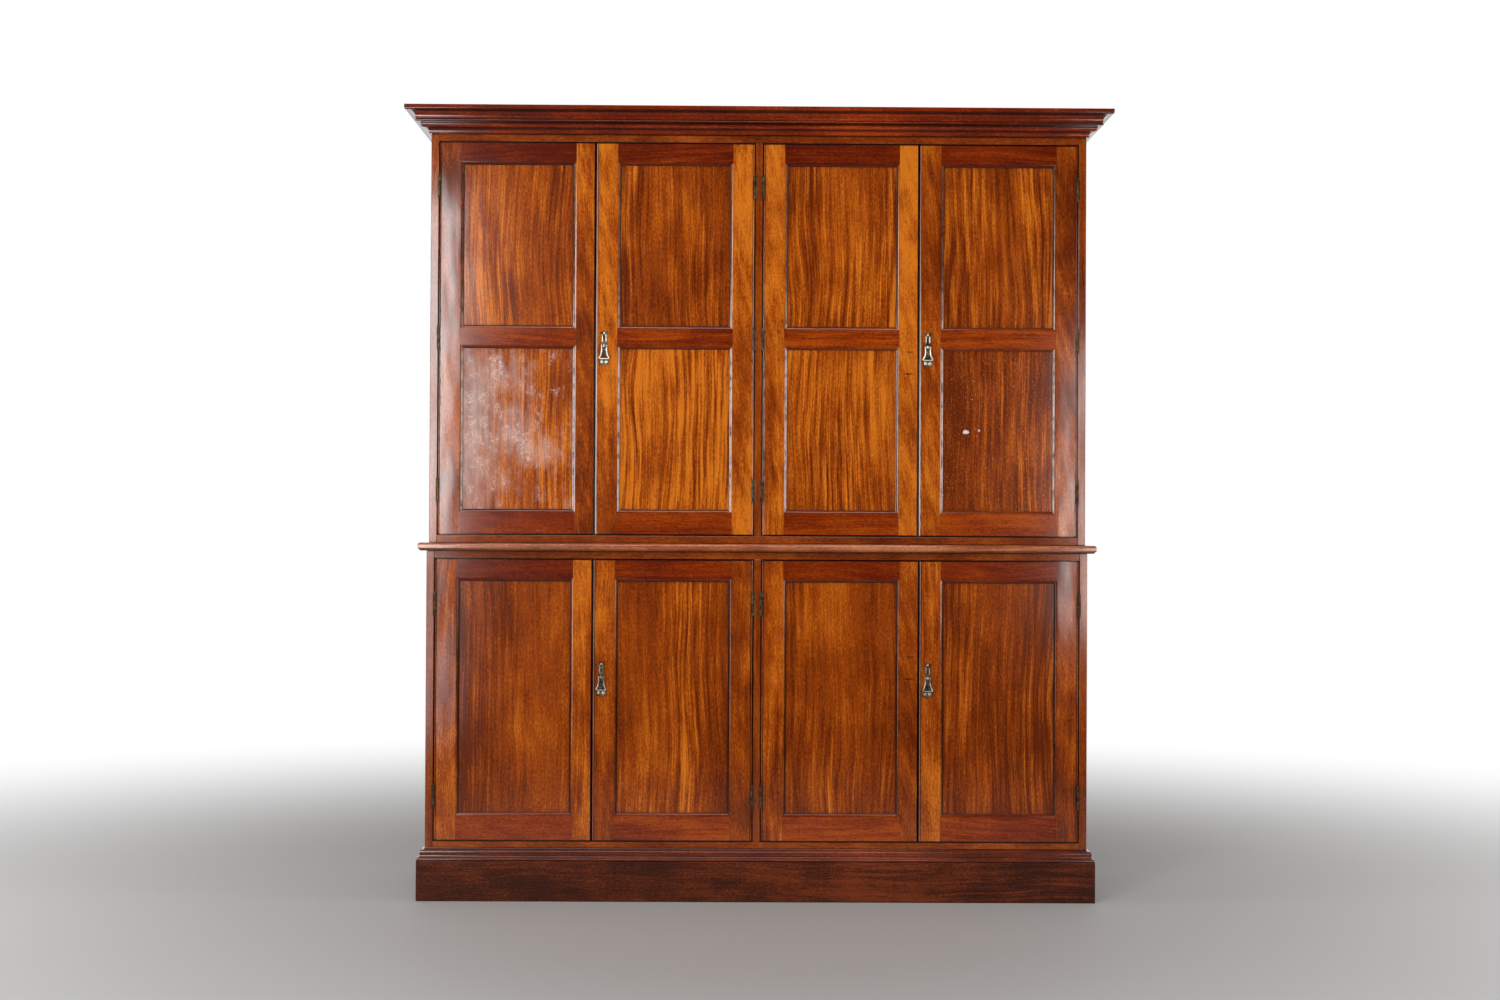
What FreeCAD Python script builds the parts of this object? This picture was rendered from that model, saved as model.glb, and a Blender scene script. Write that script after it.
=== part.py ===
import FreeCAD, Part
import math
import os
import Sketcher

# A housekeeper's cupboard: an upper carcase with four doors stands on a wider lower carcase
# with four doors, under a cornice and on a plinth. X runs to the right, Y from front to back
# and Z up. The origin is on the floor, under the middle of the whole cupboard.

SIZES = {
    # Lower carcase
    "lower_width": 1804,
    "lower_depth": 510,
    "end_thickness": 21,
    "partition_thickness": 19,
    "back_thickness": 10,
    "housing_depth": 7,
    "housing_setback": 14,
    "lower_bottom_thickness": 17,
    "lower_opening": 771,
    "lower_top_thickness": 20,
    # Plinth and the moulding that covers its joint with the carcase
    "plinth_height": 110,
    "plinth_projection": 21,
    "plinth_thickness": 32,
    "base_moulding_height": 33,
    "base_moulding_projection": 20,
    "base_bearer_thickness": 21,
    # Board between the two carcases
    "waist_thickness": 22,
    "waist_projection": 22,
    "waist_nosing": 8,
    "waist_undercut": 7,
    # Upper carcase
    "upper_setback": 10,
    "upper_inset": 5,
    "upper_bottom_thickness": 21,
    "upper_opening": 1077,
    "upper_top_thickness": 20,
    # Cornice
    "cornice_height": 69,
    "cornice_projection": 66,
    "cornice_seat": 18,
    "cornice_back_thickness": 20,
    # Shelves and the battens under them
    "shelf_thickness": 18,
    "shelf_setback": 50,
    "shelf_clearance": 0.3,
    "batten_width": 16,
    "batten_height": 24,
    # Doors
    "door_thickness": 22,
    "hinge_gap": 2,
    "meeting_gap": 3,
    "door_clearance": 1.5,
    "active_door_extra": 9,
    "stile_width": 68,
    "meeting_stile_width": 60,
    "lower_top_rail": 61,
    "lower_bottom_rail": 77,
    "upper_top_rail": 62,
    "upper_mid_rail": 64,
    "upper_bottom_rail": 70,
    "bead_width": 5,
    "quirk_width": 1.5,
    "moulding_width": 6,
    "moulding_step": 1,
    "panel_thickness": 7,
    "groove_depth": 10,
    "panel_play": 1,
    "tenon_length": 30,
    "tenon_shoulder": 12,
    # Butt hinges
    "hinge_length": 64,
    "hinge_margin": 90,
    "leaf_thickness": 2,
    "leaf_width": 16,
    "knuckle_radius": 3.1,
    "knuckle_inset": 1.5,
    "knuckle_proud": 1,
    "knuckle_clearance": 0.2,
    "hinge_pin_radius": 1.5,
    "hinge_pin_clearance": 0.08,
    # Drop handles
    "upper_handle_height": 517,
    "lower_handle_height": 447,
    "handle_inset": 24,
    "plate_height": 91,
    "plate_width": 28,
    "plate_thickness": 2,
    "plate_drop": 7,
    "boss_radius": 5,
    "boss_length": 9,
    "pear_radius": 5.2,
    "pear_length": 27,
    "pear_height": 3,
    "pivot_stand": 5.5,
    "drop_pin_radius": 1.5,
    "drop_pin_clearance": 0.09,
    "eye_radius": 2.8,
    "eye_length": 3.2,
    "eye_clearance": 0.3,
    "drop_width": 25.4,
    "drop_length": 35.5,
    "drop_wire_radius": 1.9,
    # Cupboard locks
    "keyhole_rise": 20,
    "keyhole_radius": 2.4,
    "key_slot_width": 2.2,
    "key_slot_length": 8,
    "lock_width": 28,
    "lock_depth": 11,
    "lock_below_keyhole": 18,
    "lock_above_keyhole": 36,
    "lock_bolt_rise": 16,
    "lock_bolt_length": 22,
    "lock_bolt_height": 18,
    "lock_bolt_thickness": 5,
    "lock_bolt_clearance": 0.3,
    "strike_depth": 9,
    # Slip bolts of the doors without a lock
    "slip_case_width": 16,
    "slip_case_depth": 9,
    "slip_case_height": 60,
    "slip_case_drop": 14,
    "slip_inset": 28,
    "slip_bolt_radius": 3,
    "slip_bolt_clearance": 0.3,
    "slip_bolt_rest": 3,
    "slip_throw": 12,
    "slip_knob_radius": 4.2,
    "slip_knob_height": 6,
    "slip_hole_depth": 14,
    # What every cut runs past the wood
    "overrun": 1,
}

BACK_BOARD_COUNT = 8
UPPER_SHELF_COUNT = 3
LOWER_SHELF_COUNT = 1
UPPER_HINGE_COUNT = 3
LOWER_HINGE_COUNT = 2

# Small roundings are drawn with flat sides, since there are so many of them
ROUND_SIDES = 8
BEAD_RUNS = 4
MOULDING_RUNS = 3

doc = FreeCAD.newDocument("housekeepers_cupboard")
sheet = doc.addObject("Spreadsheet::Sheet", "Sizes")
for row, (alias, number) in enumerate(SIZES.items(), start=1):
    sheet.set("A%d" % row, alias.replace("_", " "))
    sheet.set("B%d" % row, str(number))
    sheet.setAlias("B%d" % row, alias)
doc.recompute()


def text_of(term):
    return term.text if isinstance(term, Length) else repr(term)


def value_of(term):
    return term.value if isinstance(term, Length) else term


class Length:
    """A size, with its value and the sheet formula that gives it."""

    def __init__(self, text, value):
        self.text = text
        self.value = value

    def __add__(self, other):
        return Length("(%s + %s)" % (self.text, text_of(other)), self.value + value_of(other))

    def __sub__(self, other):
        return Length("(%s - %s)" % (self.text, text_of(other)), self.value - value_of(other))

    def __mul__(self, factor):
        return Length("(%s * %s)" % (self.text, text_of(factor)), self.value * value_of(factor))

    def __truediv__(self, factor):
        return Length("(%s / %s)" % (self.text, text_of(factor)), self.value / value_of(factor))

    def __rsub__(self, other):
        return Length("(%s - %s)" % (text_of(other), self.text), value_of(other) - self.value)

    def __neg__(self):
        return Length("(0 - %s)" % self.text, -self.value)

    __radd__ = __add__
    __rmul__ = __mul__


def size(alias):
    return Length("Sizes." + alias, float(SIZES[alias]))


def bind(item, name, length):
    item.setExpression(name, text_of(length))


overrun = size("overrun")
diagonal = 0.5 ** 0.5


# Sketches, pads and pockets

def new_body(name):
    return doc.addObject("PartDesign::Body", name)


def origin_feature(body, role):
    for feature in body.Origin.OriginFeatures:
        if feature.Role == role:
            return feature


def new_sketch(body, plane, distance=None):
    """A sketch on one of the body's own planes, moved along the plane's normal.

    The normal is +Z for XY_Plane, -Y for XZ_Plane and +X for YZ_Plane.
    """
    sketch = body.newObject("Sketcher::SketchObject", body.Name + "_sketch")
    sketch.AttachmentSupport = [(origin_feature(body, plane), "")]
    sketch.MapMode = "FlatFace"
    if distance is not None:
        bind(sketch, "AttachmentOffset.Base.z", distance)
    return sketch


def pin_point(sketch, edge, end, u, v):
    """Holds one point of the sketch at u, v from the sketch's origin."""
    for kind, length in (("DistanceX", u), ("DistanceY", v)):
        index = sketch.addConstraint(Sketcher.Constraint(kind, -1, 1, edge, end, value_of(length)))
        if isinstance(length, Length):
            bind(sketch, "Constraints[%d]" % index, length)


def vector(u, v):
    return FreeCAD.Vector(value_of(u), value_of(v), 0)


def draw(sketch, corners, closed=True):
    """Joins corners (u, v) by lines. A corner (u, v, mid_u, mid_v) is reached by an arc through its mid."""
    first = sketch.GeometryCount
    edges = []
    count = len(corners) if closed else len(corners) - 1
    for index in range(count):
        start = corners[index]
        end = corners[(index + 1) % len(corners)]
        a = vector(*start[:2])
        b = vector(*end[:2])
        if len(end) == 2:
            sketch.addGeometry(Part.LineSegment(a, b))
            edges.append((1, 2))
            continue
        mid = vector(*end[2:])
        sketch.addGeometry(Part.ArcOfCircle(a, mid, b))
        turns_left = (mid - a).cross(b - mid).z > 0
        edges.append((1, 2) if turns_left else (2, 1))
    for index in range(count):
        pin_point(sketch, first + index, edges[index][0], *corners[index][:2])
        if closed or index < count - 1:
            following = (index + 1) % count
            sketch.addConstraint(Sketcher.Constraint(
                "Coincident", first + index, edges[index][1], first + following, edges[following][0]))
    if not closed:
        pin_point(sketch, first + count - 1, edges[-1][1], *corners[-1][:2])
    for index in range(count):
        end = corners[(index + 1) % len(corners)]
        if len(end) == 4:
            point = sketch.addGeometry(Part.Point(vector(*end[2:])), True)
            pin_point(sketch, point, 1, *end[2:])
            sketch.addConstraint(Sketcher.Constraint("PointOnObject", point, 1, first + index))


def draw_rectangle(sketch, u0, u1, v0, v1):
    draw(sketch, [(u0, v0), (u1, v0), (u1, v1), (u0, v1)])


def draw_round(sketch, u, v, radius):
    """A small round as a polygon inside the circle of the given radius."""
    corners = []
    for step in range(ROUND_SIDES):
        angle = 2 * math.pi * (step + 0.5) / ROUND_SIDES
        corners.append((u + radius * math.cos(angle), v + radius * math.sin(angle)))
    draw(sketch, corners)


def rounded(u, v, radius, start, end, runs):
    """Corners of a rounding about u, v. Start and end are in right angles from +u towards +v."""
    corners = []
    for step in range(runs + 1):
        angle = math.pi / 2 * (start + step * (end - start) / runs)
        corners.append((u + radius * math.cos(angle), v + radius * math.sin(angle)))
    return corners


def around(radius):
    """The radius of a polygonal bore that clears a round of the given radius all the way."""
    return radius / math.cos(math.pi / ROUND_SIDES)


def pad(body, sketch, length, reverse=False):
    feature = body.newObject("PartDesign::Pad", body.Name + "_pad")
    feature.Profile = sketch
    feature.Reversed = reverse
    bind(feature, "Length", length)
    body.Tip = feature
    return feature


def pocket(body, sketch, length=None, reverse=False):
    """Cuts against the sketch's normal, or along it with reverse; without a length it cuts through all."""
    feature = body.newObject("PartDesign::Pocket", body.Name + "_pocket")
    feature.Profile = sketch
    feature.Reversed = reverse
    if length is None:
        feature.Type = "ThroughAll"
    else:
        bind(feature, "Length", length)
    body.Tip = feature
    return feature


# Boxes, cuts and groups

def box(name, x0, x1, y0, y1, z0, z1):
    item = doc.addObject("Part::Box", name)
    for name, low, high in (("Length", x0, x1), ("Width", y0, y1), ("Height", z0, z1)):
        bind(item, name, high - low)
    for axis, low in (("x", x0), ("y", y0), ("z", z0)):
        bind(item, "Placement.Base." + axis, low)
    return item


def cut(name, base, tools):
    tool = doc.addObject("Part::Compound", name + "_cuts")
    tool.Links = tools
    item = doc.addObject("Part::Cut", name)
    item.Base = base
    item.Tool = tool
    return item


def fuse(name, pieces):
    item = doc.addObject("Part::MultiFuse", name)
    item.Shapes = pieces
    return item


def group(name, pieces, x=None, y=None, z=None):
    item = doc.addObject("Part::Compound", name)
    item.Links = pieces
    for axis, length in (("x", x), ("y", y), ("z", z)):
        if length is not None:
            bind(item, "Placement.Base." + axis, length)
    return item


nodes = {}


def keep(name, item):
    item.Label = name
    nodes[name] = item
    return item


# Levels, from the floor up

plinth_top = size("plinth_height")
lower_bottom = plinth_top + size("base_moulding_height")
lower_floor = lower_bottom + size("lower_bottom_thickness")
lower_ceiling = lower_floor + size("lower_opening")
lower_top = lower_ceiling + size("lower_top_thickness")
waist_top = lower_top + size("waist_thickness")
upper_floor = waist_top + size("upper_bottom_thickness")
upper_ceiling = upper_floor + size("upper_opening")
upper_top = upper_ceiling + size("upper_top_thickness")
cornice_top = upper_top + size("cornice_height")

# Planes from the front to the back

whole_depth = size("lower_depth") - size("upper_setback") + size("cornice_projection")
back_plane = whole_depth / 2
lower_front = back_plane - size("lower_depth")
upper_front = lower_front + size("upper_setback")
inside_back = back_plane - size("back_thickness")

# Half widths

lower_half = size("lower_width") / 2
upper_half = lower_half - size("upper_inset")
half_partition = size("partition_thickness") / 2


# Mitred runs of moulding across the front and back along both ends

def mitred_run(name, section, half, front, projection, seat, base, height):
    """Three lengths with mitred front corners. The section holds (out, up) from the face at base."""
    def placed(turn):
        points = []
        for corner in section:
            point = turn(corner[0]) + (base + corner[1],)
            if len(corner) == 4:
                point = point + turn(corner[2]) + (base + corner[3],)
            points.append(point)
        return points

    run_half = half + projection
    low = front - projection
    inner = front + seat
    clear_top = base + height + overrun
    pieces = []

    across = new_body(name + "_front")
    sketch = new_sketch(across, "YZ_Plane", -run_half)
    draw(sketch, placed(lambda out: (front - out,)))
    pad(across, sketch, 2 * run_half)
    mitres = new_sketch(across, "XY_Plane", clear_top)
    for side in (-1, 1):
        draw(mitres, [
            (side * (run_half + overrun), low - overrun),
            (side * (half - seat - overrun), inner + overrun),
            (side * (run_half + overrun), inner + overrun)])
    pocket(across, mitres)
    pieces.append(across)

    for side, end in ((-1, "left"), (1, "right")):
        along = new_body(name + "_" + end)
        sketch = new_sketch(along, "XZ_Plane", -back_plane)
        draw(sketch, placed(lambda out: (side * (half + out),)))
        pad(along, sketch, back_plane - low)
        mitre = new_sketch(along, "XY_Plane", clear_top)
        draw(mitre, [
            (side * (run_half + overrun), low - overrun),
            (side * (half - seat - overrun), inner + overrun),
            (side * (half - seat - overrun), low - overrun)])
        pocket(along, mitre)
        pieces.append(along)
    return pieces


def shaped_section(shares, projection, height):
    """Turns shares of the projection and height into the corners of a section."""
    section = []
    for corner in shares:
        point = (corner[0] * projection, corner[1] * height)
        if len(corner) == 4:
            point = point + (corner[2] * projection, corner[3] * height)
        section.append(point)
    return section


# Plinth: mitred front and returns, a back rail and a middle rail, and the bearers of the carcase

plinth_seat = size("plinth_thickness") - size("plinth_projection")
plinth_inside = lower_half - plinth_seat
plinth_section = [
    (-plinth_seat, 0),
    (size("plinth_projection"), 0),
    (size("plinth_projection"), plinth_top),
    (-plinth_seat, plinth_top)]
floor_level = 0
plinth_pieces = mitred_run("plinth_rail", plinth_section, lower_half, lower_front,
                           size("plinth_projection"), plinth_seat, floor_level, plinth_top)
plinth_back_face = back_plane - size("plinth_thickness")
half_bearer = size("base_bearer_thickness") / 2
bearer_front = lower_front + size("base_bearer_thickness")
bearer_back = back_plane - size("base_bearer_thickness")
bearer_half = lower_half - size("end_thickness")
plinth_pieces.append(box("plinth_rail_back", -plinth_inside, plinth_inside,
                         plinth_back_face, back_plane, floor_level, plinth_top))
plinth_pieces.append(box("plinth_rail_middle", -half_bearer, half_bearer,
                         lower_front + plinth_seat, plinth_back_face, floor_level, plinth_top))
plinth_pieces.append(box("base_bearer_front", -bearer_half, bearer_half,
                         lower_front, bearer_front, plinth_top, lower_bottom))
plinth_pieces.append(box("base_bearer_back", -bearer_half, bearer_half,
                         bearer_back, back_plane, plinth_top, lower_bottom))
plinth_pieces.append(box("base_bearer_middle", -half_bearer, half_bearer,
                         bearer_front, bearer_back, plinth_top, lower_bottom))
keep("plinth", group("plinth", plinth_pieces))

# Base moulding: bead at the foot, hollow, round and a small cove at the head

base_moulding_shares = [
    (0, 0),
    (0.94, 0),
    (0.94, 0.18, 1.0, 0.09),
    (0.88, 0.22),
    (0.60, 0.47, 0.66, 0.30),
    (0.60, 0.54),
    (0.40, 0.86, 0.57, 0.77),
    (0.32, 0.86),
    (0, 1.0, 0.10, 0.90)]
base_section = shaped_section(base_moulding_shares, size("base_moulding_projection"),
                              size("base_moulding_height"))
base_seat = 0
keep("base_moulding", group("base_moulding", mitred_run(
    "base_length", base_section, lower_half, lower_front, size("base_moulding_projection"),
    base_seat, plinth_top, size("base_moulding_height"))))

# Cornice: soffit, hollow, round, corona with its bead, large hollow and a rounded top fillet

cornice_shares = [
    (0, 0),
    (0.10, 0),
    (0.10, 0.06),
    (0.25, 0.21, 0.14, 0.165),
    (0.29, 0.21),
    (0.40, 0.37, 0.385, 0.27),
    (0.40, 0.41),
    (0.56, 0.41),
    (0.56, 0.49, 0.615, 0.45),
    (0.60, 0.53),
    (0.90, 0.80, 0.66, 0.73),
    (0.94, 0.80),
    (1.0, 0.87, 0.983, 0.82),
    (1.0, 1.0)]
cornice_section = shaped_section(cornice_shares, size("cornice_projection"), size("cornice_height"))
cornice_section.append((-size("cornice_seat"), size("cornice_height")))
cornice_section.append((-size("cornice_seat"), 0))
cornice_pieces = mitred_run("cornice_length", cornice_section, upper_half, upper_front,
                            size("cornice_projection"), size("cornice_seat"), upper_top,
                            size("cornice_height"))
cornice_inside = upper_half - size("cornice_seat")
cornice_pieces.append(box("cornice_back", -cornice_inside, cornice_inside,
                          back_plane - size("cornice_back_thickness"), back_plane,
                          upper_top, cornice_top))
keep("cornice", group("cornice", cornice_pieces))

# Waist board with a rounded nosing above and an undercut below, on the front and both ends

waist_half = lower_half + size("waist_projection")
waist_front = lower_front - size("waist_projection")
waist = new_body("waist")
waist_plan = new_sketch(waist, "XY_Plane", lower_top)
draw_rectangle(waist_plan, -waist_half, waist_half, waist_front, back_plane)
waist_slab = pad(waist, waist_plan, size("waist_thickness"))
doc.recompute()


def waist_edges(level):
    """The front and end edges of the waist board at one level."""
    names = []
    tiny = waist.Shape.Length * FreeCAD.Base.Precision.confusion()
    for index, edge in enumerate(waist.Shape.Edges, start=1):
        middle = edge.CenterOfMass
        at_level = abs(middle.z - level.value) < tiny
        at_back = abs(middle.y - back_plane.value) < tiny
        if at_level and not at_back:
            names.append("Edge%d" % index)
    return names


top_edges = waist_edges(waist_top)
nosing = waist.newObject("PartDesign::Fillet", "waist_nosing")
nosing.Base = (waist_slab, top_edges)
bind(nosing, "Radius", size("waist_nosing"))
waist.Tip = nosing
doc.recompute()
bottom_edges = waist_edges(lower_top)
undercut = waist.newObject("PartDesign::Chamfer", "waist_undercut")
undercut.Base = (nosing, bottom_edges)
bind(undercut, "Size", size("waist_undercut"))
waist.Tip = undercut
keep("waist_board", group("waist_board", [waist]))


# Hinges: the carcase leaf carries the pin, the door leaf the middle knuckle. Both are drawn from
# the door's hinge edge at x = 0 and its front face at y = 0, with the door on the side given.

bead_radius = size("bead_width") / 2
leaf_back = bead_radius + size("leaf_width")
knuckle_third = size("hinge_length") / 3


def side_rectangle(sketch, side, u0, u1, v0, v1):
    draw_rectangle(sketch, side * u0, side * u1, v0, v1)


def frame_leaf(side, hand):
    body = new_body("frame_leaf_" + hand)
    board_face = -size("hinge_gap")
    plate = new_sketch(body, "XY_Plane")
    side_rectangle(plate, side, board_face - size("leaf_thickness"), board_face,
                   0, leaf_back)
    pad(body, plate, size("hinge_length"))
    web = new_sketch(body, "XY_Plane")
    side_rectangle(web, side, board_face - size("leaf_thickness"), size("knuckle_inset"),
                   -size("leaf_thickness"), 0)
    pad(body, web, size("hinge_length"))
    knuckle = new_sketch(body, "XY_Plane")
    draw_round(knuckle, side * size("knuckle_inset"), -size("knuckle_proud"), size("knuckle_radius"))
    pad(body, knuckle, size("hinge_length"))
    space = new_sketch(body, "XY_Plane", knuckle_third - size("knuckle_clearance"))
    side_rectangle(space, side, board_face - size("leaf_thickness") - overrun,
                   size("knuckle_inset") + size("knuckle_radius") + overrun,
                   -size("knuckle_proud") - size("knuckle_radius") - overrun, 0)
    pocket(body, space, knuckle_third + 2 * size("knuckle_clearance"), reverse=True)
    nub = new_sketch(body, "XY_Plane", knuckle_third - size("knuckle_clearance"))
    side_rectangle(nub, side, board_face,
                   size("knuckle_inset") + size("knuckle_radius") + overrun,
                   -overrun, bead_radius)
    pocket(body, nub, knuckle_third + 2 * size("knuckle_clearance"), reverse=True)
    pin = new_sketch(body, "XY_Plane")
    draw_round(pin, side * size("knuckle_inset"), -size("knuckle_proud"), size("hinge_pin_radius"))
    pad(body, pin, size("hinge_length"))
    return body


def door_leaf(side, hand):
    body = new_body("door_leaf_" + hand)
    plate = new_sketch(body, "XY_Plane")
    side_rectangle(plate, side, 0, size("leaf_thickness"), bead_radius, leaf_back)
    pad(body, plate, size("hinge_length"))
    low = knuckle_third + size("knuckle_clearance")
    tall = knuckle_third - 2 * size("knuckle_clearance")
    tab = new_sketch(body, "XY_Plane", low)
    side_rectangle(tab, side, 0, size("leaf_thickness"), -size("knuckle_proud"), bead_radius)
    pad(body, tab, tall)
    knuckle = new_sketch(body, "XY_Plane", low)
    draw_round(knuckle, side * size("knuckle_inset"), -size("knuckle_proud"), size("knuckle_radius"))
    pad(body, knuckle, tall)
    bore = new_sketch(body, "XY_Plane", low)
    draw_round(bore, side * size("knuckle_inset"), -size("knuckle_proud"),
               around(size("hinge_pin_radius") + size("hinge_pin_clearance")))
    pocket(body, bore, tall, reverse=True)
    return body


frame_leaves = {1: frame_leaf(1, "left"), -1: frame_leaf(-1, "right")}
door_leaves = {1: door_leaf(1, "left"), -1: door_leaf(-1, "right")}


def hinge_levels(door_height, count):
    """Heights of the hinges' lower ends above the door's bottom."""
    first = size("hinge_margin")
    last = door_height - size("hinge_margin") - size("hinge_length")
    return [first + step * (last - first) / (count - 1) for step in range(count)]


# Doors. Each is drawn from its lower left front corner. Stiles run the full height with a bead
# on the edge, rails are tenoned between them, and a small round moulding is worked on the frame
# round each panel, mitred at the corners.

thickness = size("door_thickness")
moulding = size("moulding_width")
recess = size("moulding_step") + moulding
panel_back = recess + size("panel_thickness")
lower_door_height = size("lower_opening") - 2 * size("door_clearance")
upper_door_height = size("upper_opening") - 2 * size("door_clearance")


def door_widths(half):
    """Widths of the passive and the active door of one pair."""
    opening = half - size("end_thickness") - half_partition
    both = opening - 2 * size("hinge_gap") - size("meeting_gap")
    return (both - size("active_door_extra")) / 2, (both + size("active_door_extra")) / 2


def keyhole(sketch, x, z):
    """A round eye over a slot, centred on the eye."""
    half_slot = size("key_slot_width") / 2
    neck = z - size("keyhole_radius") * diagonal
    foot = z - size("key_slot_length")
    corners = [(x - half_slot, neck), (x - half_slot, foot), (x + half_slot, foot), (x + half_slot, neck)]
    draw(sketch, corners + rounded(x, z, size("keyhole_radius"), -0.5, 2.5, ROUND_SIDES))


def stile(name, edge, side, width, height, rails, beaded):
    """An upright whose outer edge is at x = edge and whose inner edge is on the side given."""
    body = new_body(name)

    def at(offset):
        return edge + side * offset

    shoulder = width - moulding
    section = [(0, 0)]
    if beaded:
        quirk = size("bead_width") + size("quirk_width")
        section = rounded(bead_radius, bead_radius, bead_radius, 2, 4, BEAD_RUNS)
        section += [(quirk, bead_radius), (quirk, 0)]
    section += [(shoulder, 0)]
    section += rounded(shoulder, recess, moulding, -1, 0, MOULDING_RUNS)
    section += [
        (width - size("groove_depth"), recess),
        (width - size("groove_depth"), panel_back),
        (width, panel_back),
        (width, thickness),
        (0, thickness)]
    outline = new_sketch(body, "XY_Plane")
    draw(outline, [(at(across), back) for across, back in section])
    pad(body, outline, height)

    shoulders = new_sketch(body, "XZ_Plane")
    past = width + overrun
    for low, high, moulded_low, moulded_high in rails:
        lower_end = low + moulding if moulded_low else low - overrun
        upper_end = high - moulding if moulded_high else high + overrun
        draw(shoulders, [
            (at(past), low - overrun),
            (at(shoulder), lower_end),
            (at(shoulder), upper_end),
            (at(past), high + overrun)])
    pocket(body, shoulders)

    mortises = new_sketch(body, "XZ_Plane", -recess)
    for rail in rails:
        low, high = tenon_levels(*rail)
        draw_rectangle(mortises, at(shoulder - size("tenon_length")), at(past), low, high)
    pocket(body, mortises, size("panel_thickness"))
    return body


def tenon_levels(low, high, moulded_low, moulded_high):
    """The tenon stops at the groove on a moulded edge and at a shoulder on a plain one."""
    below = size("groove_depth") if moulded_low else size("tenon_shoulder")
    above = size("groove_depth") if moulded_high else size("tenon_shoulder")
    return low + below, high - above


def rail_piece(name, left, right, low, high, moulded_low, moulded_high):
    """A rail between two sight edges, mitred where its moulding meets the stiles' moulding."""
    body = new_body(name)
    section = [(thickness, low)]
    if moulded_low:
        section += [
            (panel_back, low),
            (panel_back, low + size("groove_depth")),
            (recess, low + size("groove_depth"))]
        section += rounded(recess, low + moulding, moulding, -1, -2, MOULDING_RUNS)
        section += [(0, low + moulding)]
    else:
        section += [(0, low)]
    if moulded_high:
        section += [(0, high - moulding)]
        section += rounded(recess, high - moulding, moulding, 2, 1, MOULDING_RUNS)
        section += [
            (recess, high - size("groove_depth")),
            (panel_back, high - size("groove_depth")),
            (panel_back, high)]
    else:
        section += [(0, high)]
    section += [(thickness, high)]
    outline = new_sketch(body, "YZ_Plane", left - moulding)
    draw(outline, section)
    pad(body, outline, right - left + 2 * moulding)

    mitres = new_sketch(body, "XZ_Plane")
    reach = moulding + overrun
    for edge, side in ((left, -1), (right, 1)):
        if moulded_low:
            draw(mitres, [
                (edge + side * reach, low + reach),
                (edge - side * overrun, low - overrun),
                (edge + side * reach, low - overrun)])
        if moulded_high:
            draw(mitres, [
                (edge + side * reach, high - reach),
                (edge - side * overrun, high + overrun),
                (edge + side * reach, high + overrun)])
    pocket(body, mitres)

    tenons = new_sketch(body, "XZ_Plane", -recess)
    tenon_low, tenon_high = tenon_levels(low, high, moulded_low, moulded_high)
    draw_rectangle(tenons, left - moulding - size("tenon_length"),
                   right + moulding + size("tenon_length"), tenon_low, tenon_high)
    pad(body, tenons, size("panel_thickness"), reverse=True)
    return body


def panel(name, left, right, low, high):
    body = new_body(name)
    hidden = size("groove_depth") - size("panel_play")
    outline = new_sketch(body, "XZ_Plane", -recess)
    draw_rectangle(outline, left - hidden, right + hidden, low - hidden, high + hidden)
    pad(body, outline, size("panel_thickness"), reverse=True)
    return body


def hinge_recesses(body, edge, side, height, count):
    """Cuts away the bead for each knuckle and lets the leaf into the door's edge."""
    for level in hinge_levels(height, count):
        sketch = new_sketch(body, "XY_Plane", level)
        draw(sketch, [
            (edge - side * overrun, -overrun),
            (edge + side * size("bead_width"), -overrun),
            (edge + side * size("bead_width"), bead_radius),
            (edge + side * size("leaf_thickness"), bead_radius),
            (edge + side * size("leaf_thickness"), leaf_back),
            (edge - side * overrun, leaf_back)])
        pocket(body, sketch, size("hinge_length"), reverse=True)


def lock_bolt_levels(handle_height):
    middle = handle_height + size("keyhole_rise") + size("lock_bolt_rise")
    half = size("lock_bolt_height") / 2
    return middle - half, middle + half


lock_bolt_middle = thickness - size("lock_depth") / 2
lock_bolt_front = lock_bolt_middle - size("lock_bolt_thickness") / 2
bolt_way_front = lock_bolt_front - size("lock_bolt_clearance")
bolt_way = size("lock_bolt_thickness") + 2 * size("lock_bolt_clearance")


def lock_recess(body, handle_height):
    """Lets the lock into the back of the stile and cuts the keyhole through to it."""
    eye = handle_height + size("keyhole_rise")
    recess_sketch = new_sketch(body, "XZ_Plane", -(thickness - size("lock_depth")))
    draw_rectangle(recess_sketch, -overrun, size("lock_width"),
                   eye - size("lock_below_keyhole"), eye + size("lock_above_keyhole"))
    pocket(body, recess_sketch, size("lock_depth") + overrun)
    hole = new_sketch(body, "XZ_Plane")
    keyhole(hole, size("handle_inset"), eye)
    pocket(body, hole, thickness - size("lock_depth"))


def strike(body, edge, handle_height):
    """A mortise in the passive door's meeting edge that takes the lock's bolt."""
    low, high = lock_bolt_levels(handle_height)
    sketch = new_sketch(body, "XZ_Plane", -bolt_way_front)
    draw_rectangle(sketch, edge - size("strike_depth"), edge + overrun,
                   low - size("lock_bolt_clearance"), high + size("lock_bolt_clearance"))
    pocket(body, sketch, bolt_way)


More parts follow.
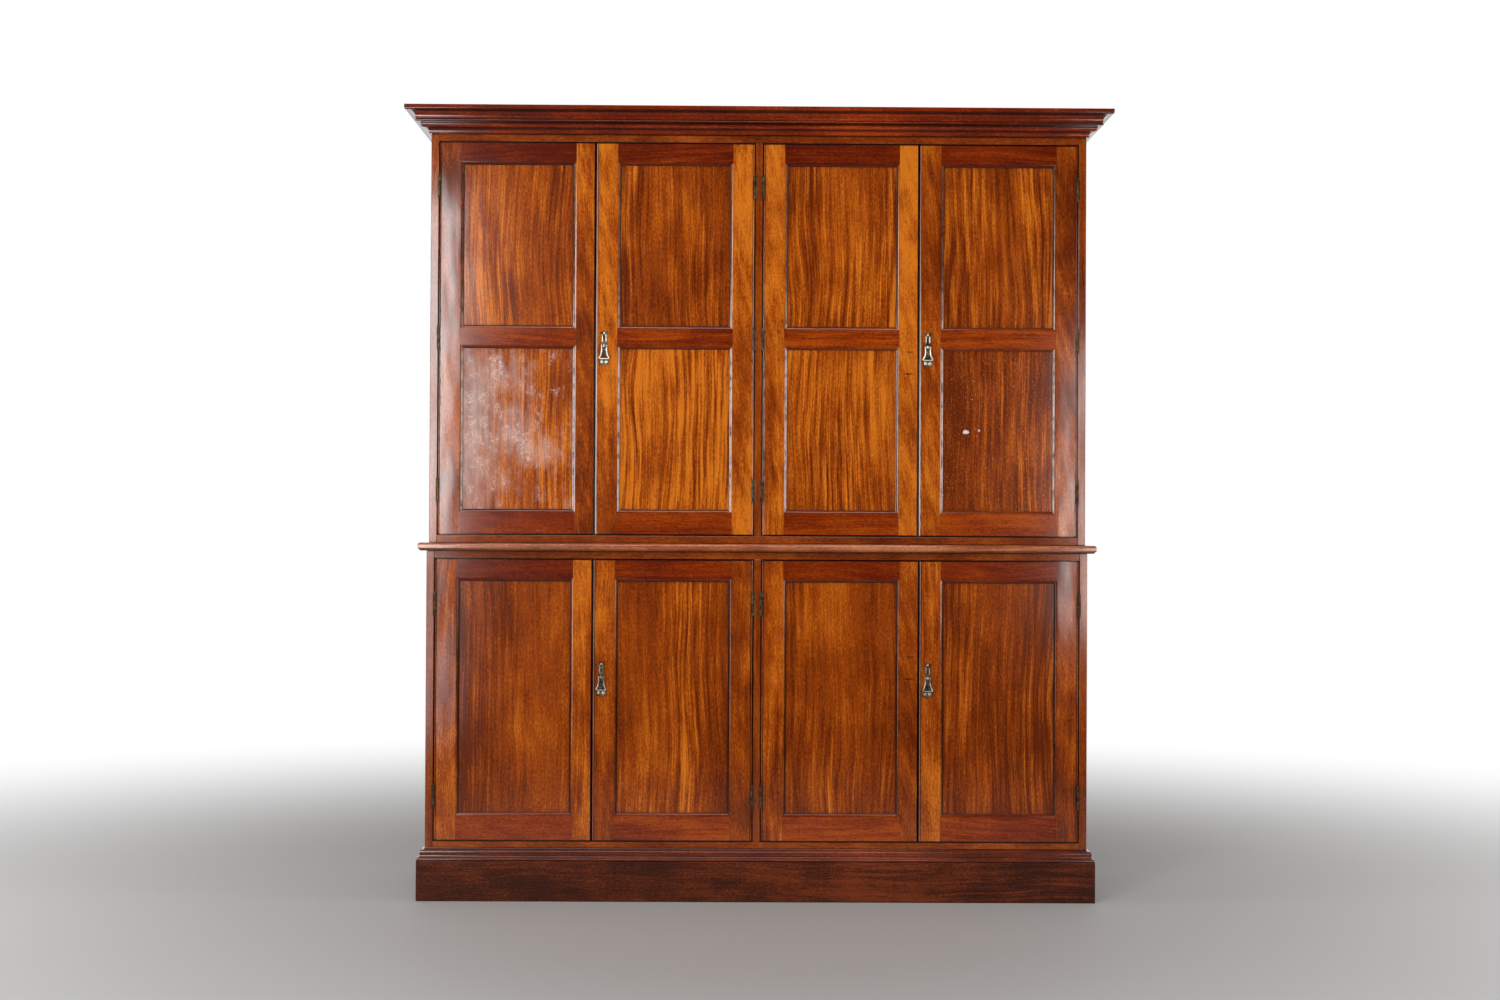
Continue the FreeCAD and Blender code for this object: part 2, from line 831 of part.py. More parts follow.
def door_pieces(name, active, width, height, rails, handle_height, hinges):
    """Stiles, rails and panels of one pattern of door. The active door hangs on its right edge."""
    left_width = size("stile_width")
    right_width = size("stile_width") if active else size("meeting_stile_width")
    left_stile = stile(name + "_left_stile", 0, 1, left_width, height, rails, True)
    right_stile = stile(name + "_right_stile", width, -1, right_width, height, rails, active)
    if active:
        hinge_recesses(right_stile, width, -1, height, hinges)
        lock_recess(left_stile, handle_height)
    else:
        hinge_recesses(left_stile, 0, 1, height, hinges)
        strike(right_stile, width, handle_height)
    pieces = [left_stile, right_stile]
    left = left_width
    right = width - right_width
    for number, rail in enumerate(rails, start=1):
        pieces.append(rail_piece("%s_rail_%d" % (name, number), left, right, *rail))
    for number in range(len(rails) - 1):
        low = rails[number][1]
        high = rails[number + 1][0]
        pieces.append(panel("%s_panel_%d" % (name, number + 1), left, right, low, high))
    return pieces


def lower_rails():
    return [
        (0, size("lower_bottom_rail"), False, True),
        (lower_door_height - size("lower_top_rail"), lower_door_height, True, False)]


def upper_rails():
    low = size("upper_bottom_rail")
    high = upper_door_height - size("upper_top_rail")
    middle = (low + high) / 2
    half_rail = size("upper_mid_rail") / 2
    return [
        (0, low, False, True),
        (middle - half_rail, middle + half_rail, True, True),
        (high, upper_door_height, True, False)]


# The two carcases, with what differs between them

CARCASES = {
    "lower": {
        "half": lower_half, "front": lower_front, "bottom": plinth_top, "board": lower_bottom,
        "floor": lower_floor, "ceiling": lower_ceiling, "top": lower_top,
        "height": lower_door_height, "rails": lower_rails(), "hinges": LOWER_HINGE_COUNT,
        "handle": size("lower_handle_height"), "shelves": LOWER_SHELF_COUNT},
    "upper": {
        "half": upper_half, "front": upper_front, "bottom": waist_top, "board": waist_top,
        "floor": upper_floor, "ceiling": upper_ceiling, "top": upper_top,
        "height": upper_door_height, "rails": upper_rails(), "hinges": UPPER_HINGE_COUNT,
        "handle": size("upper_handle_height"), "shelves": UPPER_SHELF_COUNT}}


def is_active(door):
    return door % 2 == 1


def door_places(carcase):
    """Left edge, hinge edge and hinge side of the four doors, from left to right."""
    half = carcase["half"]
    passive, active = door_widths(half)
    starts = [
        size("end_thickness") + size("hinge_gap") - half,
        -half_partition - size("hinge_gap") - active,
        half_partition + size("hinge_gap"),
        half - size("end_thickness") - size("hinge_gap") - active]
    places = []
    for number, start in enumerate(starts):
        if is_active(number):
            places.append((start, start + active, -1))
        else:
            places.append((start, start, 1))
    return places


def leaf_cuts(name, carcase, doors):
    """Recesses in a board for the carcase leaves of the doors given."""
    places = door_places(carcase)
    cuts = []
    for door in doors:
        edge, side = places[door][1:]
        face = edge - side * size("hinge_gap")
        low_x, high_x = (face - size("leaf_thickness"), face) if side > 0 else (
            face, face + size("leaf_thickness"))
        for number, level in enumerate(hinge_levels(carcase["height"], carcase["hinges"])):
            start = carcase["floor"] + size("door_clearance") + level
            cuts.append(box("%s_recess_%d_%d" % (name, door, number), low_x, high_x,
                            carcase["front"], carcase["front"] + leaf_back,
                            start, start + size("hinge_length")))
    return cuts


# In each pair of doors the left one is passive: its slip bolt shoots up into the board above it.
# The right one is active: it has the handle and the lock.

slip_middle = thickness + size("slip_case_depth") / 2


def slip_place(carcase, door):
    start = door_places(carcase)[door][0]
    return start + door_widths(carcase["half"])[0] - size("slip_inset")


def housed_board(name, half, front, low, high, tools):
    """A board between the ends, with a stopped tongue at each end that is housed in them."""
    inner = half - size("end_thickness")
    housed = inner + size("housing_depth")
    tongue_front = front + size("housing_setback")
    main = box(name + "_board", -inner, inner, front, inside_back, low, high)
    tongue = box(name + "_tongue", -housed, housed, tongue_front, inside_back, low, high)
    tools.append(tongue)
    return fuse(name, [main, tongue])


def make_carcase(level, carcase):
    half = carcase["half"]
    front = carcase["front"]
    inner = half - size("end_thickness")
    housings = []
    bottom = housed_board(level + "_bottom", half, front, carcase["board"], carcase["floor"], housings)
    top = housed_board(level + "_top", half, front, carcase["ceiling"], carcase["top"], housings)
    keep(level + "_bottom_board", bottom)
    sockets = []
    for door in range(len(door_places(carcase))):
        if is_active(door):
            continue
        socket = doc.addObject("Part::Prism", "%s_socket_%d" % (level, door))
        socket.Polygon = ROUND_SIDES
        bind(socket, "Circumradius", around(size("slip_bolt_radius") + size("slip_bolt_clearance")))
        bind(socket, "Height", size("slip_hole_depth"))
        bind(socket, "Placement.Base.x", slip_place(carcase, door))
        bind(socket, "Placement.Base.y", front + slip_middle)
        bind(socket, "Placement.Base.z", carcase["ceiling"])
        sockets.append(socket)
    keep(level + "_top_board", cut(level + "_top_drilled", top, sockets))
    for side, hand, door in ((-1, "left", 0), (1, "right", 3)):
        low_x, high_x = (-half, -inner) if side < 0 else (inner, half)
        board = box("%s_%s_board" % (level, hand), low_x, high_x, front, back_plane,
                    carcase["bottom"], carcase["top"])
        name = "%s_end_%s" % (level, hand)
        keep(name, cut(name, board, housings + leaf_cuts(name, carcase, [door])))
    middle = box(level + "_middle", -half_partition, half_partition, front, inside_back,
                 carcase["floor"], carcase["ceiling"])
    name = level + "_partition"
    keep(name, cut(name, middle, leaf_cuts(name, carcase, [1, 2])))
    backs = []
    board_width = 2 * inner / BACK_BOARD_COUNT
    for number in range(BACK_BOARD_COUNT):
        start = number * board_width - inner
        backs.append(box("%s_back_%d" % (level, number), start, start + board_width,
                         inside_back, back_plane, carcase["board"], carcase["top"]))
    keep(level + "_back_boards", group(level + "_back_boards", backs))


def make_shelves(level, carcase):
    """Loose shelves on battens, spaced evenly between floor and ceiling on each side."""
    shelves = []
    battens = []
    inner = carcase["half"] - size("end_thickness")
    front = carcase["front"] + size("shelf_setback")
    count = carcase["shelves"]
    spacing = (carcase["ceiling"] - carcase["floor"]) / (count + 1)
    for number in range(1, count + 1):
        middle = carcase["floor"] + number * spacing
        low = middle - size("shelf_thickness") / 2
        for side, start, end in (("left", -inner, -half_partition), ("right", half_partition, inner)):
            name = "%s_%s_%d" % (level, side, number)
            shelves.append(box("shelf_" + name, start + size("shelf_clearance"),
                               end - size("shelf_clearance"), front, inside_back,
                               low, low + size("shelf_thickness")))
            for hand, batten_start in (("a", start), ("b", end - size("batten_width"))):
                battens.append(box("batten_%s_%s" % (name, hand), batten_start,
                                   batten_start + size("batten_width"), front, inside_back,
                                   low - size("batten_height"), low))
    keep(level + "_shelves", group(level + "_shelves", shelves))
    return battens


all_battens = []
for carcase_name, carcase_sizes in CARCASES.items():
    make_carcase(carcase_name, carcase_sizes)
    all_battens += make_shelves(carcase_name, carcase_sizes)
keep("shelf_bearers", group("shelf_bearers", all_battens))


# Handle plate, drop, lock and slip bolt, each drawn once about its own place on the door

plate_shares = [
    (0, 0.470),
    (0.21, 0.478),
    (0.40, 0.500),
    (0.30, 0.425),
    (0.25, 0.340),
    (0.23, 0.190),
    (0.23, 0.020),
    (0.25, -0.130),
    (0.30, -0.250),
    (0.39, -0.330),
    (0.44, -0.400),
    (0.43, -0.455),
    (0.36, -0.490),
    (0.16, -0.500),
    (0, -0.480)]

pear_shares = [
    (0, 0),
    (0.25, 0),
    (0.33, -0.30),
    (0.50, -0.64),
    (0.34, -0.90),
    (0, -1.0)]

# Half of the drop's wire, from the middle of its foot round the corner and up towards the eye
drop_shares = [
    (0, -1.0),
    (0.45, -1.0),
    (0.86, -0.985),
    (1.0, -0.93),
    (0.94, -0.86),
    (0.78, -0.76),
    (0.63, -0.62),
    (0.54, -0.45),
    (0.50, -0.24)]


def mirrored_outline(shares, width, height):
    """An outline from the half on the right, given from the top to the bottom."""
    right = [(across * width, up * height) for across, up in shares]
    left = [(-across, up) for across, up in right[-2:0:-1]]
    return right + left


def handle_plate():
    body = new_body("plate")
    outline = new_sketch(body, "XZ_Plane")
    plate = mirrored_outline(plate_shares, size("plate_width"), size("plate_height"))
    draw(outline, [(across, up - size("plate_drop")) for across, up in plate])
    pad(body, outline, size("plate_thickness"))
    eye = new_sketch(body, "XZ_Plane", size("plate_thickness"))
    keyhole(eye, 0, size("keyhole_rise"))
    pocket(body, eye)

    pear = new_sketch(body, "XZ_Plane", size("plate_thickness"))
    draw(pear, mirrored_outline(pear_shares, 2 * size("pear_radius"), size("pear_length")))
    pad(body, pear, size("pear_height"))

    boss = new_sketch(body, "XZ_Plane", size("plate_thickness"))
    draw_round(boss, 0, 0, size("boss_radius"))
    pad(body, boss, size("boss_length"))
    bore = new_sketch(body, "YZ_Plane", size("boss_radius") + overrun)
    draw_round(bore, -(size("plate_thickness") + size("pivot_stand")), 0,
               around(size("drop_pin_radius") + size("drop_pin_clearance")))
    pocket(body, bore)
    return body


def handle_drop():
    """A bell-shaped wire loop with an eye at each end of its pin."""
    body = new_body("drop")
    half_width = size("drop_width") / 2
    eye_start = size("boss_radius") + size("eye_clearance")
    eye_middle = eye_start + size("eye_length") / 2
    away = size("plate_thickness") + size("pivot_stand")
    path = new_sketch(body, "XZ_Plane", away)
    runs = [(across * half_width, up * size("drop_length")) for across, up in drop_shares]
    runs.append((eye_middle, 0))
    draw(path, runs, closed=False)
    wire = new_sketch(body, "YZ_Plane")
    draw_round(wire, -away, -size("drop_length"), size("drop_wire_radius"))
    doc.recompute()
    loop = body.newObject("PartDesign::AdditivePipe", "drop_loop")
    loop.Profile = wire
    loop.Spine = (path, ["Edge%d" % (number + 1) for number in range(len(runs) - 1)])
    loop.Transition = "Right corner"
    body.Tip = loop
    doc.recompute()
    other = body.newObject("PartDesign::Mirrored", "drop_other_half")
    other.Originals = [loop]
    other.MirrorPlane = (origin_feature(body, "YZ_Plane"), [""])
    body.Tip = other
    for side in (-1, 1):
        eye = new_sketch(body, "YZ_Plane", side * eye_start)
        draw_round(eye, -away, 0, size("eye_radius"))
        pad(body, eye, size("eye_length"), reverse=side < 0)
    pin = new_sketch(body, "YZ_Plane", -eye_middle)
    draw_round(pin, -away, 0, size("drop_pin_radius"))
    pad(body, pin, 2 * eye_middle)
    return body


def lock_case():
    """Drawn from the door's meeting edge, its front face and the height of the keyhole's eye."""
    body = new_body("lock")
    front = thickness - size("lock_depth")
    outline = new_sketch(body, "XZ_Plane", -front)
    draw_rectangle(outline, 0, size("lock_width"),
                   -size("lock_below_keyhole"), size("lock_above_keyhole"))
    pad(body, outline, size("lock_depth"), reverse=True)
    low, high = lock_bolt_levels(-size("keyhole_rise"))
    way = new_sketch(body, "XZ_Plane", -bolt_way_front)
    draw_rectangle(way, -overrun, size("lock_bolt_length") + size("lock_bolt_clearance"),
                   low - size("lock_bolt_clearance"), high + size("lock_bolt_clearance"))
    pocket(body, way, bolt_way)
    eye = new_sketch(body, "XZ_Plane", -front)
    draw_round(eye, size("handle_inset"), 0, size("keyhole_radius"))
    pocket(body, eye, size("lock_depth") / 2)
    return body


def lock_bolt():
    low, high = lock_bolt_levels(-size("keyhole_rise"))
    return box("lock_bolt", 0, size("lock_bolt_length"), lock_bolt_front,
               lock_bolt_front + size("lock_bolt_thickness"), low, high)


def slip_case():
    """Drawn about the bolt's axis, from the door's back face and its top edge."""
    body = new_body("slip_case")
    high = -size("slip_case_drop")
    low = high - size("slip_case_height")
    half_case = size("slip_case_width") / 2
    half_depth = size("slip_case_depth") / 2
    outline = new_sketch(body, "XY_Plane", low)
    draw(outline, [
        (-half_case, 0),
        (half_case, 0),
        (half_case, half_depth / 2),
        (half_depth, size("slip_case_depth")),
        (-half_depth, size("slip_case_depth")),
        (-half_case, half_depth / 2)])
    pad(body, outline, size("slip_case_height"))
    bore = new_sketch(body, "XY_Plane", low)
    draw_round(bore, 0, half_depth,
               around(size("slip_bolt_radius") + size("slip_bolt_clearance")))
    pocket(body, bore, size("slip_case_height"), reverse=True)
    return body


def slip_bolt():
    body = new_body("slip_bolt")
    high = -size("slip_bolt_rest")
    knob_high = -size("slip_case_drop") - size("slip_case_height") - size("slip_throw") - overrun
    knob_low = knob_high - size("slip_knob_height")
    half_depth = size("slip_case_depth") / 2
    rod = new_sketch(body, "XY_Plane", knob_low)
    draw_round(rod, 0, half_depth, size("slip_bolt_radius"))
    pad(body, rod, high - knob_low)
    knob = new_sketch(body, "XY_Plane", knob_low)
    draw_round(knob, 0, half_depth, size("slip_knob_radius"))
    pad(body, knob, size("slip_knob_height"))
    return body


plate_body = handle_plate()
drop_body = handle_drop()
lock_body = lock_case()
lock_bolt_body = lock_bolt()
slip_case_body = slip_case()
slip_bolt_body = slip_bolt()


# Doors in their places, with what is fixed to each

all_frame_leaves = []
for level, carcase in CARCASES.items():
    front = carcase["front"]
    bottom = carcase["floor"] + size("door_clearance")
    height = carcase["height"]
    passive, active = door_widths(carcase["half"])
    patterns = {
        False: door_pieces(level + "_passive", False, passive, height, carcase["rails"],
                           carcase["handle"], carcase["hinges"]),
        True: door_pieces(level + "_active", True, active, height, carcase["rails"],
                          carcase["handle"], carcase["hinges"])}
    for door, (start, edge, side) in enumerate(door_places(carcase)):
        name = "%s_door_%d" % (level, door + 1)
        keep(name, group(name, patterns[is_active(door)], start, front, bottom))
        leaves = []
        for number, rise in enumerate(hinge_levels(height, carcase["hinges"])):
            mark = "%s_%d" % (name, number)
            leaves.append(group(mark + "_leaf", [door_leaves[side]], edge, front, bottom + rise))
            all_frame_leaves.append(
                group(mark + "_frame_leaf", [frame_leaves[side]], edge, front, bottom + rise))
        keep(name + "_hinge_leaves", group(name + "_hinge_leaves", leaves))
        if is_active(door):
            middle = start + size("handle_inset")
            pivot = bottom + carcase["handle"]
            eye = pivot + size("keyhole_rise")
            keep(name + "_handle_plate",
                 group(name + "_handle_plate", [plate_body], middle, front, pivot))
            keep(name + "_drop", group(name + "_drop", [drop_body], middle, front, pivot))
            keep(name + "_lock_case", group(name + "_lock_case", [lock_body], start, front, eye))
            keep(name + "_lock_bolt", group(name + "_lock_bolt", [lock_bolt_body], start, front, eye))
        else:
            axis = slip_place(carcase, door)
            back_face = front + thickness
            head = bottom + height
            keep(name + "_slip_case",
                 group(name + "_slip_case", [slip_case_body], axis, back_face, head))
            keep(name + "_slip_bolt",
                 group(name + "_slip_bolt", [slip_bolt_body], axis, back_face, head))
keep("hinge_frame_leaves", group("hinge_frame_leaves", all_frame_leaves))

doc.recompute()

faults = []
for item in doc.Objects:
    if "Invalid" in item.State or "Error" in item.State:
        faults.append("%s is %s" % (item.Name, item.State))
for name, item in nodes.items():
    if item.Shape.isNull() or not item.Shape.isValid() or not item.Shape.Solids:
        faults.append("%s has no valid solid" % name)
if faults:
    raise RuntimeError("; ".join(faults))

os.makedirs("parts", exist_ok=True)
for name, item in nodes.items():
    item.Shape.exportStep("parts/%s.step" % name)
    print("%-36s %2d solids" % (name, len(item.Shape.Solids)))
print("%d sub-parts" % len(nodes))
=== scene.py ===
# %% [markdown]
# # A housekeeper's cupboard
# The cupboard is a cabinetmaker's job: framed doors, mitred mouldings and polished mahogany.
# The joinery was settled in the CAD model, which is loaded here as a frame of bodies and nodes.
# Everything below dresses that frame, in metres, with X to the right, Y to the back and Z up.

# %% Load the frame
import bmesh
import bpy
import math
import random
from mathutils import Matrix, Vector


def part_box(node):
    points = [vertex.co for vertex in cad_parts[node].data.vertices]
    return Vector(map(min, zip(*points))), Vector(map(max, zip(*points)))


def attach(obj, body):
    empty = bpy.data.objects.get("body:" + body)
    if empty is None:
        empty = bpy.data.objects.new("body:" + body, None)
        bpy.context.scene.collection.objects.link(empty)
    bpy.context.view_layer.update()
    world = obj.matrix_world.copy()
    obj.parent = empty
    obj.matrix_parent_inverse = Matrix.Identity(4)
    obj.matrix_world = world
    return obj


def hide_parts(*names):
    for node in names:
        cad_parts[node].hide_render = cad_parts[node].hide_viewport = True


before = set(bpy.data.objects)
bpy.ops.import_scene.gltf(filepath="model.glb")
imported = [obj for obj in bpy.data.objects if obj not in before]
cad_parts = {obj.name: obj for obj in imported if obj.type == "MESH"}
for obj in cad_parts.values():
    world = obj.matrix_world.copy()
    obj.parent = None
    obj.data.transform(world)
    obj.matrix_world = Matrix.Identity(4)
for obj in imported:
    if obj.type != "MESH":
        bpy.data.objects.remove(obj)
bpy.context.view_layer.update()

scene = bpy.context.scene

# %% [markdown]
# ## The camera
# A photograph of furniture is taken from far back with a long lens, so that upright edges stay
# upright. The place, the aim and the lens here were worked out from points along the edges of the
# cupboard, and the focal length is in the photograph's pixels. The camera's own axes are built
# from the aim, then the camera is rolled a little.

# %% Place the camera
camera_place = Vector((-0.0799, -6.227, 1.0342))
camera_yaw, camera_pitch, camera_roll = 0.0098, 0.0098, 0.0051
image_width, focal_length = 1500, 2198

forward = Vector((math.sin(camera_yaw) * math.cos(camera_pitch),
                  math.cos(camera_yaw) * math.cos(camera_pitch), math.sin(camera_pitch)))
level_right = Vector((math.cos(camera_yaw), -math.sin(camera_yaw), 0))
level_up = level_right.cross(forward)
right = math.cos(camera_roll) * level_right + math.sin(camera_roll) * level_up
up = math.cos(camera_roll) * level_up - math.sin(camera_roll) * level_right

camera_data = bpy.data.cameras.new("camera")
camera_data.sensor_width = 36
camera_data.lens = focal_length / image_width * camera_data.sensor_width
camera = bpy.data.objects.new("camera", camera_data)
camera.matrix_world = Matrix((
    (right.x, up.x, -forward.x, camera_place.x),
    (right.y, up.y, -forward.y, camera_place.y),
    (right.z, up.z, -forward.z, camera_place.z),
    (0, 0, 0, 1)))
scene.collection.objects.link(camera)
scene.camera = camera

# %% [markdown]
# ## Nodes for finishes
# In Blender a finish is a tree of small nodes, and each node does one step. The same few steps
# come up in every finish: arithmetic, a value stretched from one range to another, and one colour
# laid over another. Naming them once keeps the recipes below short enough to read.

# %% Node helpers
def add(tree, kind, inputs=None, **settings):
    """Adds a node. Inputs gives a value or another node's output for each socket named."""
    node = tree.nodes.new("ShaderNode" + kind)
    for key, value in settings.items():
        setattr(node, key, value)
    for socket, value in (inputs or {}).items():
        if isinstance(value, bpy.types.NodeSocket):
            tree.links.new(value, node.inputs[socket])
        else:
            node.inputs[socket].default_value = value
    return node


def calc(tree, operation, first, *others):
    """Arithmetic on two values, one value alone, or a sum, product or extreme of many."""
    result = first
    for value in others or (0.0,):
        result = add(tree, "Math", {0: result, 1: value}, operation=operation).outputs[0]
    return result


def ranged(tree, value, start, end, most=1.0, least=0.0, **settings):
    """The least while the value is at the start, rising to the most at the end."""
    return add(tree, "MapRange", {
        "Value": value, "From Min": start, "From Max": end, "To Min": least, "To Max": most},
        **settings).outputs[0]


def part_of(tree, vector, letter):
    return add(tree, "SeparateXYZ", {0: vector}).outputs[letter]


def away_from(tree, value, middle):
    return calc(tree, "ABSOLUTE", calc(tree, "SUBTRACT", value, middle))


def mixed(tree, share, colour, over):
    """A colour with another one laid over it, by the share given."""
    return add(tree, "Mix", {0: share, 6: colour, 7: (*over, 1)}, data_type="RGBA").outputs[2]


finishes = []


def new_material(name):
    made = bpy.data.materials.new(name)
    made.use_nodes = True
    made.node_tree.nodes.clear()
    finishes.append(made)
    return made, made.node_tree


def show(tree, surface, output="OutputMaterial"):
    tree.links.new(surface.outputs[0], add(tree, output).inputs["Surface"])


print("node helpers are ready")

# %% [markdown]
# ## Light and floor
# Polished wood is judged by what it mirrors. The world is white to the eye, but dim where the
# doors would mirror it, which keeps their colour deep. Light Path tells the rays apart: the eye
# and clear glass see plain white, polish sees a dark room in front and a bright one behind, and
# every other ray gets a low, even light.

# %% Light the world
WHITE = (1, 1, 1, 1)
FRONT_GLIMMER, AMBIENT = 0.02, 0.30
DARK_UNTIL, BRIGHT_FROM = -0.6, 0.2

world = bpy.data.worlds.new("studio")
world.use_nodes = True
scene.world = world
tree = world.node_tree
tree.nodes.clear()
rays = add(tree, "LightPath").outputs
seen = calc(tree, "MAXIMUM", rays["Is Camera Ray"], rays["Is Transmission Ray"])
backward = part_of(tree, add(tree, "TexCoord").outputs["Generated"], "Y")
mirrored = calc(tree, "MULTIPLY", rays["Is Glossy Ray"],
                ranged(tree, backward, DARK_UNTIL, BRIGHT_FROM, 1.0, FRONT_GLIMMER))
other = calc(tree, "SUBTRACT", 1.0, calc(tree, "MAXIMUM", seen, rays["Is Glossy Ray"]))
strength = calc(tree, "ADD", seen, mirrored, calc(tree, "MULTIPLY", other, AMBIENT))
show(tree, add(tree, "Background", {"Color": WHITE, "Strength": strength}), "OutputWorld")
scene.view_settings.view_transform = "Standard"
print("polish mirrors %.2f of white in front, and the even light is %.2f" % (FRONT_GLIMMER, AMBIENT))

# %% [markdown]
# The lamps do the work of windows. Tall ones stand left and right of the camera, so far out that
# only the outermost uprights mirror them. One hangs overhead and draws the lines of the mouldings,
# and a strip on each side lights the ends of the cupboard.

# %% Hang the soft lamps
def soft_lamp(name, place, aim, width, height, watts, spread=180):
    data = bpy.data.lights.new(name, "AREA")
    data.shape = "RECTANGLE"
    data.size = width
    data.size_y = height
    data.energy = watts
    data.spread = math.radians(spread)
    lamp = bpy.data.objects.new(name, data)
    lamp.location = place
    lamp.rotation_euler = (Vector(aim) - Vector(place)).to_track_quat("-Z", "Y").to_euler()
    scene.collection.objects.link(lamp)


soft_lamp("key_lamp", (-0.6, -3.4, 3.9), (0, 0, 1.3), 3.2, 0.9, 12, 80)
soft_lamp("left_lamp", (-1.85, -4.7, 1.75), (-0.2, 0, 1.3), 0.9, 1.7, 26, 110)
soft_lamp("left_low_lamp", (-1.88, -4.7, 0.42), (-0.2, 0, 0.9), 0.9, 0.9, 4, 110)
soft_lamp("right_lamp", (1.95, -4.7, 1.2), (0.2, 0, 1.2), 0.7, 1.4, 10.5, 110)
soft_lamp("left_strip", (-3.0, -0.75, 1.45), (0, -0.2, 1.4), 0.4, 0.9, 26)
soft_lamp("right_strip", (3.0, -0.75, 1.45), (0, -0.2, 1.4), 0.4, 0.9, 22)
print("%d soft lamps of %.1f watts together" % (
    len(bpy.data.lights), sum(lamp.energy for lamp in bpy.data.lights)))

# %% [markdown]
# The floor is a plain pale plane that keeps the cupboard's shadow. Further out it fades to the
# white of the world, so no horizon cuts across the picture.

# %% Lay the floor
FLOOR_HALF = 14
FADE_START, FADE_END, BRIGHT_BEHIND = 1.0, 4.6, 1.5

floor_mesh = bpy.data.meshes.new("floor")
floor_mesh.from_pydata([(across * FLOOR_HALF, back * FLOOR_HALF, 0) for across, back in (
    (-1, -1), (1, -1), (1, 1), (-1, 1))], [], [(0, 1, 2, 3)])
floor = bpy.data.objects.new("floor", floor_mesh)
scene.collection.objects.link(floor)

floor_paint, tree = new_material("pale floor")
paint = add(tree, "BsdfPrincipled", {"Base Color": (0.45, 0.44, 0.43, 1), "Roughness": 0.7})
rays = add(tree, "LightPath").outputs
spot = add(tree, "TexCoord").outputs["Object"]
radius = add(tree, "VectorMath", {0: spot}, operation="LENGTH").outputs["Value"]
far = ranged(tree, radius, FADE_START, FADE_END, interpolation_type="SMOOTHSTEP")
behind = ranged(tree, part_of(tree, spot, "Y"), 0.0, BRIGHT_BEHIND, 1.0, FRONT_GLIMMER)
direct = calc(tree, "MAXIMUM", rays["Is Camera Ray"], rays["Is Transmission Ray"])
brightness = calc(tree, "ADD", direct, calc(tree, "MULTIPLY", rays["Is Glossy Ray"], behind))
share = calc(tree, "MULTIPLY", far, calc(tree, "MAXIMUM", direct, rays["Is Glossy Ray"]))
glow = add(tree, "Emission", {"Color": WHITE, "Strength": brightness})
show(tree, add(tree, "MixShader", {0: share, 1: paint.outputs[0], 2: glow.outputs[0]}))
floor_mesh.materials.append(floor_paint)
print("a floor of %d m, white from %.1f m out" % (2 * FLOOR_HALF, FADE_END))

# %% [markdown]
# ## Mahogany
# Mahogany has interlocked grain: neighbouring layers of the trunk lean opposite ways, so a board
# cut through them shows ribbons that run along it. Short flecks, fine open pores and slow drifts
# of colour lie over them. Noise stretched along the grain makes each of these at its own scale.
# Every piece carries its own grain coordinates, in metres, with the first one along the wood, so
# one recipe serves stiles, rails and panels, and no two boards match.

# %% Grain coordinates and noise
def attribute(tree, name, output="Fac"):
    return add(tree, "Attribute", attribute_name=name).outputs[output]


def grain_coordinates(tree, axis):
    """The piece's own grain coordinates, or the cupboard's with the grain along one axis."""
    if axis is None:
        return attribute(tree, "grain", "Vector")
    place = add(tree, "SeparateXYZ", {0: add(tree, "TexCoord").outputs["Object"]}).outputs
    order = {"X": "XYZ", "Y": "YXZ", "Z": "ZXY"}[axis]
    return add(tree, "CombineXYZ", {step: place[letter] for step, letter in enumerate(order)}).outputs[0]


def stretched_noise(tree, coords, per_metre, detail=2.0, roughness=0.5, distortion=0.0):
    """Noise with so many changes in a metre along, across and through the wood."""
    scaled = add(tree, "VectorMath", {0: coords, 1: per_metre}, operation="MULTIPLY").outputs[0]
    return add(tree, "TexNoise", {
        "Vector": scaled, "Scale": 1.0, "Detail": detail, "Roughness": roughness,
        "Distortion": distortion}).outputs["Fac"]


def weigh(tree, noise, weight):
    """Noise that swings as far below nothing as above it, with a weight."""
    return calc(tree, "MULTIPLY", calc(tree, "SUBTRACT", noise, 0.5), weight)


def colour_ramp(tree, value, stops):
    ramp = add(tree, "ValToRGB", {0: value})
    for index, (place, colour) in enumerate(stops):
        stop = ramp.color_ramp.elements[index] if index < 2 else ramp.color_ramp.elements.new(place)
        stop.position = place
        stop.color = (*colour, 1)
    return ramp.outputs["Color"]


print("grain runs along, across and through each piece")

# %% [markdown]
# The ribbons and the fine lines between them bend together, because they come from one trunk, and
# they are strong in some places and faint in others. Straight stiles often show a slanting figure
# as well. Flecks, fibres, clouds and slow drifts are added with their own weights.

# %% The figure of a board
BEND, RIBBONS, LINES, STRENGTH = (1.3, 2.6, 2), (2.6, 70, 6), (6, 200, 20), (0.9, 6, 5)
SLANTED, FLECKS, FIBRES = (6, 62, 10), (105, 270, 270), (24, 430, 300)
CLOUDS, SLOW_DRIFT = (7, 12, 10), (1.3, 5, 4)
BEND_REACH, SLANT = 0.095, 0.28


